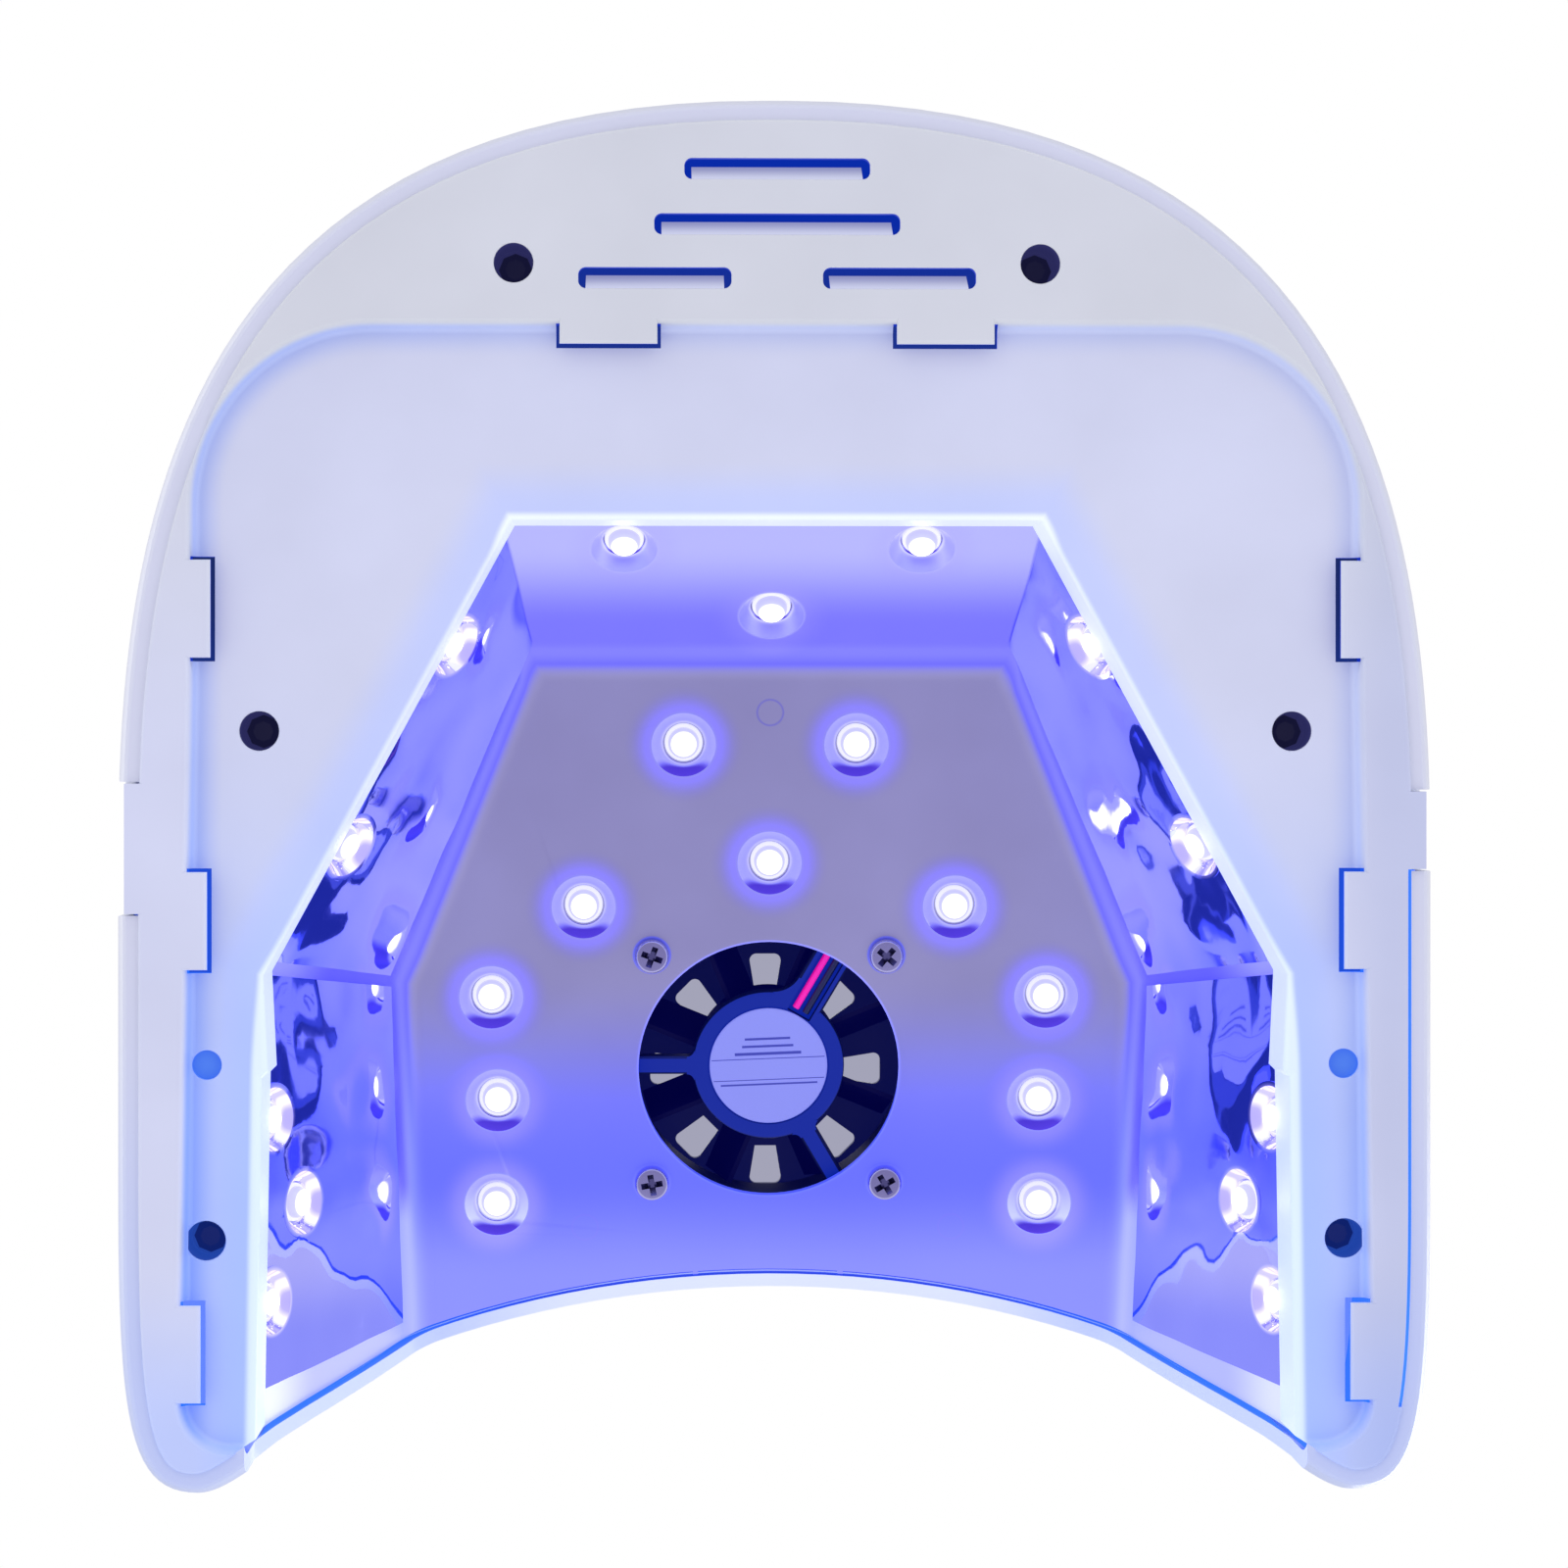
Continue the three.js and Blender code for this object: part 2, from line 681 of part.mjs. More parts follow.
// The fan's frame: origin on the ceiling's face, +Z behind it
const fanFrame = new THREE.Matrix4().makeBasis(
  acrossCeiling,
  new THREE.Vector3().crossVectors(ceilingNormal, acrossCeiling),
  ceilingNormal,
).setPosition(ceilingPoint(0, fanCentre));
const fanFront = linerWall + gap;
const fanBack = fanFront + fanThickness;
const hubFront = fanFront + hubSetback;
const hubBack = hubFront + hubDepth;
const leadAngle = strutAngles[leadStrut];

function fanScrewPlaces() {
  return [[1, 1], [-1, 1], [-1, -1], [1, -1]].map(([x, y]) => [(x * fanPitch) / 2, (y * fanPitch) / 2]);
}

function makeCeilingBoard() {
  const edge = offsetEdges(ceilingEdge, evenly(-boardMargin));
  const low = onCeiling(edge, boardFront / ceilingNormal.z);
  const high = onCeiling(edge, boardBack / ceilingNormal.z);
  const half = fanSize / 2 + gap * 2;
  const fanCut = block([-half, half], [-half, half], [0, fanBack]);
  const leadCut = block([0, fanSize / 2 + plugBlock], [-leadStrutWidth, leadStrutWidth], [0, fanBack])
    .transform(new THREE.Matrix4().makeRotationZ(leadAngle).elements);
  const frontCut = block(
    [-halfWidth, halfWidth],
    [-halfDepth - overrun, boardFrontShare * halfDepth],
    [0, height],
  );
  return loft([low, high]).subtract(fanCut.add(leadCut).transform(fanFrame.elements)).subtract(frontCut);
}

// A beam along +X turned to an angle about the fan's axis
function fanBeam(angle, from, to, beamWidth, low, high) {
  const turn = new THREE.Matrix4().makeRotationZ(angle);
  return block([from, to], [-beamWidth / 2, beamWidth / 2], [low, high]).transform(turn.elements);
}

function makeFanFrame() {
  const ring = prism(roundedBox(fanSize / 2, fanSize / 2, fanCorner), fanFront, fanBack)
    .subtract(rod(fanBoreRadius, fanFront - overrun, fanBack + overrun, 0, 0, fanSides));
  const hub = rod(hubRadius, hubFront, hubBack, 0, 0, fanSides)
    .add(rod(bearingRadius, hubFront, hubBack + bearingHeight));
  const struts = strutAngles.map((angle) => fanBeam(
    angle, hubRadius - overrun, fanBoreRadius + overrun,
    angle === leadAngle ? leadStrutWidth : strutWidth, hubFront, hubFront + strutDepth,
  ));
  const channelDepth = leadRadius * 2 + gap * 2;
  const channel = fanBeam(
    leadAngle, labelRadius, fanSize, leadChannelWidth, fanFront - overrun, hubFront + channelDepth,
  );
  const labelSeat = rod(labelRadius + gap, hubFront - overrun, hubFront + gap, 0, 0, fanSides);
  const holes = fanScrewPlaces().map(([x, y]) => rod(
    fanScrewShank + gap, fanFront - overrun, fanBack + overrun, x, y,
  ));
  const bearing = rod(shaftRadius + gap, hubBack - overrun / 2, fanBack);
  return [channel, labelSeat, bearing, ...holes].reduce(
    (rest, cut) => rest.subtract(cut),
    joined([ring, hub, ...struts]),
  ).transform(fanFrame.elements);
}

// One blade: sections that turn with the radius, joined to the hub cup
function makeBlade(index) {
  const low = hubBack + gap * 3;
  const high = fanBack - gap * 3;
  const rootRadius = rotorHubRadius - rotorCupWall / 2;
  const tipRadius = fanBoreRadius - bladeTipClearance;
  const rings = [];
  for (let station = 0; station < bladeStations; station += 1) {
    const radius = rootRadius + (station / (bladeStations - 1)) * (tipRadius - rootRadius);
    const chord = (high - low) / Math.tan(bladePitch);
    const sweep = [
      [-chord / 2, low],
      [-chord / 2 + bladeThickness, low],
      [chord / 2 + bladeThickness, high],
      [chord / 2, high],
    ];
    rings.push(sweep.map(([across, z]) => {
      const angle = across / radius;
      return new THREE.Vector3(radius * Math.cos(angle), radius * Math.sin(angle), z);
    }));
  }
  return loft(rings, new THREE.Matrix4().makeRotationZ(((index + 0.5) / bladeCount) * Math.PI * 2));
}

function makeRotor() {
  const cupLow = hubBack + gap * 2;
  const cupHigh = fanBack - gap;
  const inside = rotorHubRadius - rotorCupWall;
  const cup = revolve([
    [0, hubBack + gap],
    [shaftRadius, hubBack + gap],
    [shaftRadius, cupHigh - rotorCupWall],
    [inside, cupHigh - rotorCupWall],
    [inside, cupLow],
    [rotorHubRadius, cupLow],
    [rotorHubRadius, cupHigh],
    [0, cupHigh],
  ], fanSides);
  const blades = Array.from({ length: bladeCount }, (_, i) => makeBlade(i));
  return joined([cup, ...blades]).transform(fanFrame.elements);
}

function makeLabel() {
  return rod(labelRadius, hubFront - labelThickness, hubFront, 0, 0, fanSides).transform(fanFrame.elements);
}

// Pan-head screw with its head's underside at zero and its shank along +Z
function panScrew(head, headHeight, shank, length) {
  return revolve([
    [0, -headHeight],
    [head * screwCrownShare, -headHeight],
    [head, -headHeight / 2],
    [head, 0],
    [shank, 0],
    [0, length],
  ], smallSides);
}

function makeFanScrew([x, y]) {
  const place = new THREE.Matrix4().makeTranslation(x, y, -gap).premultiply(fanFrame);
  return panScrew(fanScrewHead, fanScrewHeadHeight, fanScrewShank, fanScrewLength)
    .transform(place.elements);
}

// Heights under the deck, and the control board, whose posts clear the row of buttons
const deckUnder = height - deckThickness;
const flangeTop = deckUnder - gap;
const flangeFoot = flangeTop - buttonFlangeHeight;
const controlBoardTop = flangeFoot - buttonStemLength - buttonTravel - gap - switchHeight;
const controlBoardFoot = controlBoardTop - controlBoardThickness;
const controlBoardRow = controlBoardRowShare * halfDepth;
const buttonRowEnd = buttonPitch * Math.max(...buttonShares) + buttonRadius + buttonFlange;
const controlBoardWidth = 2 * (buttonRowEnd + gap + deckPostRadius + deckPostInset);

// Leads: out of the hub, along the open channel, over the frame's edge and straight on to the control board
const leadPlugPlace = [
  leadPlugReach * Math.cos(leadAngle),
  fanCentre + leadPlugReach * Math.sin(leadAngle),
];

function makeLead(side) {
  const toWorld = new THREE.Matrix4().makeRotationZ(leadAngle).premultiply(fanFrame);
  const sideways = new THREE.Vector3(0, side, 0).transformDirection(toWorld).multiplyScalar(leadSpacing / 2);
  const run = hubFront + gap + leadRadius;
  const local = [
    [labelRadius + gap + leadRadius, run],
    [fanBoreRadius - leadRadius, run],
    [fanSize / 2 + leadStrutWidth, run],
    [fanSize / 2 + plugBlock, fanBack],
  ].map(([reach, z]) => new THREE.Vector3(reach, 0, z).applyMatrix4(toWorld));
  const endZ = controlBoardFoot - plugBlock / 2 - gap;
  const points = [
    ...local,
    new THREE.Vector3(...leadPlugPlace, endZ - plugBlock),
    new THREE.Vector3(...leadPlugPlace, endZ),
  ].map((p) => p.add(sideways));
  const section = new THREE.Shape().absarc(0, 0, leadRadius, 0, Math.PI * 2);
  return solid(new THREE.ExtrudeGeometry(section, {
    steps: leadSteps,
    curveSegments: leadSegments,
    bevelEnabled: false,
    extrudePath: new THREE.CatmullRomCurve3(points, false, 'centripetal'),
  }));
}

// Lamp bead: a round body with a domed lens, standing off its board
function makeBead(frame) {
  const foot = gap - boardFront;
  const profile = [[0, foot], [beadRadius, foot], [beadRadius, foot + beadBody]];
  for (let step = 1; step <= beadSteps; step += 1) {
    const turn = (step / beadSteps) * (Math.PI / 2);
    const radius = step === beadSteps ? 0 : beadRadius * Math.cos(turn);
    profile.push([radius, foot + beadBody + beadDome * Math.sin(turn)]);
  }
  return revolve(profile, beadSides).transform(frame.elements);
}

// Places that the base and the shell share
const wells = wellShares.flatMap(([x, y]) => pairOf([x * halfWidth, y * halfDepth]));
const buttons = buttonShares.map((share) => [share * buttonPitch, buttonRowShare * halfDepth]);
const displayRow = displayRowShare * halfDepth;
const displayPlace = new THREE.Matrix4().makeTranslation(0, displayRow, 0);
const deckPosts = [[1, 1], [-1, 1], [-1, -1], [1, -1]].map(([x, y]) => [
  x * (controlBoardWidth / 2 - deckPostInset),
  controlBoardRow + y * (controlBoardLength / 2 - deckPostInset),
]);

// A round-topped block that fills a side notch, or cuts it when it is wider
function notchBlock({ side, yShare, width: notchWidth }, clearance, from, to) {
  const y = yShare * halfDepth;
  const half = notchWidth / 2 - clearance;
  const top = notchHeight - clearance;
  const shape = new THREE.Shape();
  shape.moveTo(-half, 0);
  shape.lineTo(half, 0);
  shape.lineTo(half, top - notchCorner);
  shape.absarc(half - notchCorner, top - notchCorner, notchCorner, 0, Math.PI / 2);
  shape.absarc(-half + notchCorner, top - notchCorner, notchCorner, Math.PI / 2, Math.PI);
  const geometry = extruded(shape, to - from);
  geometry.rotateX(Math.PI / 2).rotateZ(Math.PI / 2).translate(from, y, 0);
  if (side < 0) geometry.rotateZ(Math.PI).translate(0, y * 2, 0);
  return solid(geometry);
}

function ventWindow(index) {
  const [inner, outer] = [ventWidthInner / 2, ventWidthOuter / 2];
  const shape = new THREE.Shape();
  shape.moveTo(ventRingInner, -inner);
  shape.lineTo(ventRingOuter - ventCorner, -outer);
  shape.quadraticCurveTo(ventRingOuter, -outer, ventRingOuter, -outer + ventCorner);
  shape.lineTo(ventRingOuter, outer - ventCorner);
  shape.quadraticCurveTo(ventRingOuter, outer, ventRingOuter - ventCorner, outer);
  shape.lineTo(ventRingInner, inner);
  const turn = new THREE.Matrix4().makeRotationZ((index / ventCount) * Math.PI * 2);
  turn.premultiply(new THREE.Matrix4().makeTranslation(0, fanCentre + ventRingShift, 0));
  return prism(shape, deckUnder - overrun, height + overrun).transform(turn.elements);
}

// The hand space as one solid, from below the base to the ceiling, which the shell's front wall leaves open
function handSpace() {
  return prism(pairs(wallAtCollar), -overrun, collarTop).add(loft(reflectorRings(evenly(0), 0, collarTop)));
}

function makeShell() {
  const hollow = shellSpace(shellWall, deckUnder, skirtFoot - overrun);
  const outer = shellSpace(0, height, skirtFoot);
  const postSpace = shellSpace(shellWall / 2, height - deckThickness / 2, skirtFoot);
  const posts = wells.map(([x, y]) => rod(postRadius, bossHeight + gap, height, x, y)
    .intersect(postSpace).subtract(rod(postBore, bossHeight, bossHeight + postBoreDepth, x, y)));
  const boardPosts = deckPosts.map(([x, y]) => rod(
    deckPostRadius, controlBoardTop + gap, height - deckThickness / 2, x, y,
  ));
  const walled = joined([outer.subtract(hollow), ...posts, ...boardPosts]);
  const clearOfLiner = behindWalls((wall) => seatOf(wall) + linerWall + seamGap);
  const reflectorSpace = loft(reflectorRings(clearOfLiner, linerWall + seamGap, linerFoot - gap))
    .intersect(shellSpace(shellWall, height, 0));
  const [halfX, halfY] = [displayWidth / 2, displayLength / 2];
  const displayHole = roundedBox(halfX - displayLedge, halfY - displayLedge, displayCorner);
  const displaySeat = roundedBox(halfX + gap, halfY + gap, displayCorner + gap);
  const cuts = [
    handSpace(),
    reflectorSpace,
    ...Array.from({ length: ventCount }, (_, i) => ventWindow(i)),
    ...buttons.map(([x, y]) => rod(
      buttonRadius + buttonClearance, deckUnder - overrun, height + overrun, x, y, buttonSides,
    )),
    prism(displayHole, deckUnder - overrun, height + overrun).transform(displayPlace.elements),
    prism(displaySeat, height - displayPocket - gap, height + overrun).transform(displayPlace.elements),
    notchBlock(inletNotch, 0, halfWidth - seamInset - rimWall, halfWidth + overrun),
    notchBlock(plainNotch, 0, halfWidth - seamInset - rimWall, halfWidth + overrun),
  ];
  return cuts.reduce((rest, cut) => rest.subtract(cut), walled);
}

// Outline of the tray recess, a little larger by `grow` all round
function recessShape(grow) {
  const back = recessBackShare * halfDepth + grow;
  const rear = recessRearWidthShare * halfWidth + grow;
  const fore = recessFrontWidthShare * halfWidth + grow;
  const turn = recessTurnShare * halfDepth;
  const front = -recessFrontShare * halfDepth - grow;
  const corner = recessCorner + grow;
  const path = new THREE.Path();
  path.moveTo(fore, front + recessEndCorner);
  path.lineTo(rear, turn);
  path.lineTo(rear, back - corner);
  path.absarc(rear - corner, back - corner, corner, 0, Math.PI / 2);
  path.lineTo(0, back);
  const right = [
    new THREE.Vector2(0, front),
    new THREE.Vector2(fore - recessEndCorner, front),
    ...path.getPoints(recessSteps),
  ];
  const left = mirrored(right.filter((p) => p.x > weldDistance));
  return [...right, ...left].filter((p, i, all) => p.distanceTo(all.at(i - 1)) > weldDistance);
}

// Latch tabs along the recess edge: centre, direction into the recess, and the direction along the edge
function tabPlaces() {
  const back = recessBackShare * halfDepth;
  const widthAt = (y) => {
    const along = (recessTurnShare * halfDepth - y) / ((recessTurnShare + recessFrontShare) * halfDepth);
    const share = recessRearWidthShare + (recessFrontWidthShare - recessRearWidthShare) * Math.max(along, 0);
    return share * halfWidth;
  };
  const backTabs = [1, -1].map((side) => ({
    x: side * backTabShare * halfWidth,
    y: back,
    turn: -Math.PI / 2,
  }));
  const sideTabs = sideTabShares.flatMap((share) => [1, -1].map((side) => ({
    x: side * widthAt(share * halfDepth),
    y: share * halfDepth,
    turn: side > 0 ? Math.PI : 0,
  })));
  return [...backTabs, ...sideTabs].map(({ x, y, turn }) => new THREE.Matrix4().makeRotationZ(turn)
    .premultiply(new THREE.Matrix4().makeTranslation(x, y, 0)).elements);
}

// A blade that leans back over its vent slot from the slot's front edge, leaving a gap at its other three sides
function makeLouvre(length) {
  const half = length / 2 - louvreEndGap;
  const front = -ventSlotWidth / 2;
  const section = [
    [front - louvreThickness, louvreFoot],
    [front, louvreFoot],
    [front + louvreReach, louvreHeight],
    [front + louvreReach - louvreThickness, louvreHeight],
  ];
  return loft([-half, half].map((x) => section.map(([y, z]) => new THREE.Vector3(x, y, z))));
}

function makeLowerCase() {
  const recessTop = recessDepth + floorThickness;
  const inside = seamInset + rimWall;
  const body = outlinePrism(seamInset, 0, rimHeight);
  const hollow = outlinePrism(inside, recessTop, rimHeight + overrun);
  const rimHollow = outlinePrism(inside, floorThickness, recessTop + overrun)
    .subtract(prism(pairs(recessShape(recessEase + floorThickness)), 0, rimHeight));
  const recess = loft([
    raised(recessShape(recessEase + recessEase / 2), -recessDepth / 2),
    raised(recessShape(0), recessDepth),
  ]);
  const tray = body.subtract(hollow).subtract(rimHollow).subtract(recess);

  const [frontRight, midRight, backRight] = opening;
  const stepY = collarStepShare * halfDepth;
  const towards = (stepY - midRight.y) / (frontRight.y - midRight.y);
  const beforeStep = midRight.clone().lerp(frontRight, towards);
  const right = [
    frontRight.clone(),
    new THREE.Vector2(beforeStep.x, stepY - collarStep),
    new THREE.Vector2(beforeStep.x - collarStep, stepY),
    new THREE.Vector2(midRight.x, midRight.y),
    backRight.clone(),
  ];
  const edge = [...right, ...mirrored(right)];
  const grown = (distance) => offsetEdges(edge, edge.slice(1).map(() => distance));
  const collar = prism(pairs(grown(collarWall)), recessDepth, collarTop)
    .intersect(outlinePrism(seamInset, 0, height));
  const fillet = loft([
    raised(grown(collarFillet * 2), recessDepth - collarFillet),
    raised(grown(0), recessDepth + collarFillet),
  ]);

  const recessBack = recessBackShare * halfDepth;
  const bosses = wells.map(([x, y]) => {
    const foot = y < recessBack ? recessDepth : 0;
    return rod(bossRadius, foot, bossHeight, x, y, wellSides);
  });
  const wellCuts = wells.flatMap(([x, y]) => [
    rod(wellRadius, -overrun, wellDepth, x, y, wellSides),
    rod(caseScrewShank + screwClearance, 0, bossHeight + overrun, x, y),
  ]);
  const tabs = tabPlaces();
  const tabHalf = tabLength / 2;
  const slit = block(
    [0, tabReach + tabSlit],
    [-tabHalf - tabSlit, tabHalf + tabSlit],
    [-overrun, recessTop + overrun],
  );
  const tab = block(
    [-recessEase - tabSlit, tabReach],
    [-tabHalf, tabHalf],
    [0, tabThickness],
  );
  const ventPlaces = ventSlots.map(({ x, yShare, length }) => ({
    place: new THREE.Matrix4().makeTranslation(x * ventSlotOffset, yShare * halfDepth, 0).elements,
    length,
  }));
  const vents = ventPlaces.map(({ place, length }) => prism(
    roundedBox(length / 2, ventSlotWidth / 2, ventSlotCorner), -overrun, floorThickness + overrun,
  ).transform(place));
  const louvres = ventPlaces.map(({ place, length }) => makeLouvre(length).transform(place));
  const [holeX, holeY] = locatingHoleShares;
  const locatingHoles = pairOf([holeX * halfWidth, holeY * halfDepth])
    .map(([x, y]) => rod(locatingHoleRadius, 0, recessDepth + locatingHoleDepth, x, y, wellSides));
  const sideTabs = [inletNotch, plainNotch]
    .map((notch) => notchBlock(notch, gap, halfWidth - inside, halfWidth - tabFlush));
  const inletHole = rod(inletNose + gap, halfWidth - inside - overrun, halfWidth, 0, 0, wellSides)
    .transform(inletFrame.elements);
  const handHole = prism(pairs(grown(0)), -overrun, height);

  const solidParts = joined([tray, collar, ...bosses, ...sideTabs]);
  const cuts = [
    handHole,
    fillet,
    ...tabs.map((place) => slit.transform(place)),
    ...wellCuts,
    ...vents,
    ...locatingHoles,
    inletHole,
  ];
  const cutBody = cuts.reduce((rest, cut) => rest.subtract(cut), solidParts);
  const rimSpace = outlinePrism(seamInset, 0, rimHeight);
  const latches = tabs.map((place) => tab.transform(place).intersect(rimSpace));
  return joined([cutBody, ...louvres, ...latches]);
}

// The inlet's frame: origin on the lamp's middle plane, +Z out through its side tab
const inletFrame = new THREE.Matrix4().makeRotationY((inletNotch.side * Math.PI) / 2)
  .setPosition(0, inletNotch.yShare * halfDepth, inletHeight);

function makeInlet() {
  const faceAt = halfWidth - tabFlush;
  const bodyAt = halfWidth - seamInset - rimWall - gap - inletSetback;
  const body = block(
    [-inletBody.height / 2, inletBody.height / 2],
    [-inletBody.width / 2, inletBody.width / 2],
    [bodyAt - inletBody.length, bodyAt],
  );
  const nose = rod(inletNose, bodyAt - overrun, faceAt, 0, 0, wellSides);
  const bore = rod(inletBore, faceAt - inletBoreDepth, faceAt + overrun);
  const pin = rod(inletPin, faceAt - inletBoreDepth - overrun, faceAt - overrun);
  return body.add(nose).subtract(bore).add(pin).transform(inletFrame.elements);
}

function makeButton([x, y]) {
  const top = height + buttonProud;
  const cap = revolve([
    [0, flangeFoot - buttonStemLength],
    [buttonStemRadius, flangeFoot - buttonStemLength],
    [buttonStemRadius, flangeFoot],
    [buttonRadius + buttonFlange, flangeFoot],
    [buttonRadius + buttonFlange, flangeTop],
    [buttonRadius, flangeTop],
    [buttonRadius, top - buttonProud / 2],
    [buttonRadius - buttonProud / 2, top],
    [0, top - buttonProud / 2],
  ], buttonSides);
  return cap.transform(new THREE.Matrix4().makeTranslation(x, y, 0).elements);
}

function makeControlBoard() {
  const [halfX, halfY] = [controlBoardWidth / 2, controlBoardLength / 2];
  const board = block(
    [-halfX, halfX],
    [controlBoardRow - halfY, controlBoardRow + halfY],
    [controlBoardFoot, controlBoardTop],
  );
  const half = switchWidth / 2;
  const switches = buttons.map(([x, y]) => {
    const body = block(
      [x - half, x + half],
      [y - half, y + half],
      [controlBoardTop - gap, controlBoardTop + switchHeight - buttonTravel],
    );
    return body.add(rod(half / 2, controlBoardTop, controlBoardTop + switchHeight, x, y));
  });
  const [plugX, plugY] = leadPlugPlace;
  const plug = block(
    [plugX - plugBlock / 2, plugX + plugBlock / 2],
    [plugY - plugBlock / 2, plugY + plugBlock / 2],
    [controlBoardFoot - plugBlock / 2, controlBoardFoot + gap],
  );
  return joined([board, plug, ...switches]);
}

function makeDisplayWindow() {
  const shape = roundedBox(displayWidth / 2, displayLength / 2, displayCorner);
  return prism(shape, height - displayPocket, height).transform(displayPlace.elements);
}

function makeDisplayModule() {
  const inset = displayLedge + gap;
  const [halfX, halfY] = [displayWidth / 2 - inset, displayLength / 2 - inset];
  return block(
    [-halfX, halfX], [displayRow - halfY, displayRow + halfY], [controlBoardTop + gap, deckUnder - gap],
  );
}

function makeCaseScrew([x, y]) {
  const place = new THREE.Matrix4().makeTranslation(x, y, wellDepth - gap);
  return panScrew(caseScrewHead, caseScrewHeadHeight, caseScrewShank, caseScrewLength)
    .transform(place.elements);
}

addPiece('lower_case', makeLowerCase(), 'whitePlastic');
addPiece('upper_shell', makeShell(), 'whitePlastic');
addPiece('reflector_liner', makeLiner(), 'silver');
for (const wall of sheetWalls) {
  addPiece(`mirror_sheet_${wall}`, makeSheet(wall), 'mirror');
  addPiece(`led_board_${wall}`, makeWallBoard(wall), 'board');
}
addPiece('led_board_back', makeWallBoard('back'), 'board');
addPiece('led_board_ceiling', makeCeilingBoard(), 'board');
for (const [wall, frames] of Object.entries(beadFrames)) {
  frames.forEach((frame, i) => addPiece(`led_${wall}_${i + 1}`, makeBead(frame), 'bead'));
}
addPiece('fan_frame', makeFanFrame(), 'blackPlastic');
addPiece('fan_rotor', makeRotor(), 'blackPlastic');
addPiece('fan_label', makeLabel(), 'paper');
fanScrewPlaces().forEach((place, i) => addPiece(`fan_screw_${i + 1}`, makeFanScrew(place), 'steel'));
addPiece('fan_lead_red', makeLead(-1), 'redLead');
addPiece('fan_lead_black', makeLead(1), 'blackLead');
buttons.forEach((place, i) => addPiece(`button_${i + 1}`, makeButton(place), 'softWhite'));
addPiece('display_window', makeDisplayWindow(), 'smoked');
addPiece('display_module', makeDisplayModule(), 'blackPlastic');
addPiece('control_board', makeControlBoard(), 'greenBoard');
addPiece('dc_inlet', makeInlet(), 'blackPlastic');
wells.forEach((place, i) => addPiece(`case_screw_${i + 1}`, makeCaseScrew(place), 'steel'));

export default lamp;
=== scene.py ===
# The looks of a gel nail lamp, built round its fixed frame. Lengths are millimetres until a mesh is made.
from functools import reduce
import math

import bmesh
import bpy
from mathutils import Matrix, Vector, noise


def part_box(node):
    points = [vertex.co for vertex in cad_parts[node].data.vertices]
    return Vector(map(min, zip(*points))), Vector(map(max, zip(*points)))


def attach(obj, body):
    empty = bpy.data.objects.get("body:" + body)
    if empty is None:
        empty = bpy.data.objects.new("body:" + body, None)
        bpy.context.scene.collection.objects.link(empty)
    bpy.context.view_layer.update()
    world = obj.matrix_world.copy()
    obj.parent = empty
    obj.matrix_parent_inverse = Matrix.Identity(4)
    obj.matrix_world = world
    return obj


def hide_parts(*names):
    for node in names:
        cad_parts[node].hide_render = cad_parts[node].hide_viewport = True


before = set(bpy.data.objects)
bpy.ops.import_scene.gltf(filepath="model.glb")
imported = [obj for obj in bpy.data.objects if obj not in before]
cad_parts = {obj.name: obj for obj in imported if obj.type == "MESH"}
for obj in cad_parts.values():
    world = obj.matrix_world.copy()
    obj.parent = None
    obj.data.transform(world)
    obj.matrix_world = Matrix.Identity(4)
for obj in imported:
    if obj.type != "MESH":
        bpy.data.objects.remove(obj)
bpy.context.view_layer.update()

MM = 0.001

# Overall sizes, from the frame
shell_low, shell_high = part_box("upper_shell")
HALF_WIDTH = (shell_high.x - shell_low.x) / MM / 2
HALF_DEPTH = (shell_high.y - shell_low.y) / MM / 2
HEIGHT = shell_high.z / MM

# Clearances
GAP = 0.3
SEAM_GAP = 0.4
FRONT_GAP = 0.9
OVERRUN = 2

# Plan outline of the shell
FRONT_REACH = 0.778 * HALF_DEPTH
FRONT_ARC = 182
FRONT_ARC_END = 0.763 * HALF_WIDTH
LEG_TIP = 0.877 * HALF_WIDTH
LEG_INNER_EASE = 4
LEG_OUTER_EASE = 0.986 * HALF_WIDTH
LEG_SHOULDER = 0.895 * HALF_DEPTH
SIDE_START = 0.56 * HALF_DEPTH
SIDE_END = 0.093 * HALF_DEPTH
BACK_CORNER = 0.317 * HALF_DEPTH
BACK_EASE = 0.954 * HALF_WIDTH
BACK_FLAT = 0.019 * HALF_WIDTH
OUTLINE_STEPS = (16, 14, 22, 2, 40)

# Shell
SHELL_WALL = 2.4
SKIRT_FOOT = 0.8
SKIRT_TUCK = 1.6
SKIRT_POWER = 2.35
BULGE_HEIGHT = 9
SHOULDER = 0.44 * HEIGHT
DECK_SCALE = 0.66
DECK_CENTRE = -0.448 * HALF_DEPTH
DOME_STEPS = 24
SKIRT_STEPS = 8
FOOT_ROUND = 0.5

# Lower case
SEAM_INSET = 3.9
FLOOR = 2.2
RIM_WALL = 1.8
EDGE_ROUND = 0.6
RIM_HEIGHT = 9
RECESS_DEPTH = 3
RECESS_BACK = 0.674 * HALF_DEPTH
RECESS_REAR = 0.885 * HALF_WIDTH
RECESS_FORE = 0.902 * HALF_WIDTH
RECESS_TURN = 0.16 * HALF_DEPTH
RECESS_FRONT = -0.935 * HALF_DEPTH
RECESS_CORNER = 29
RECESS_END_CORNER = 8
RECESS_EASE = 1.6
RECESS_EDGE = ((1.9, -1), (1, 0), (0.65, 0.08), (0.4, 0.26), (0.2, 0.55), (-0.6, 2.3), (-0.8, 2.62),
               (-1.1, 2.88), (-1.55, RECESS_DEPTH))
COLLAR_WALL = 1.2
COLLAR_TOP = 0.2444 * HEIGHT
COLLAR_FILLET = 1.2
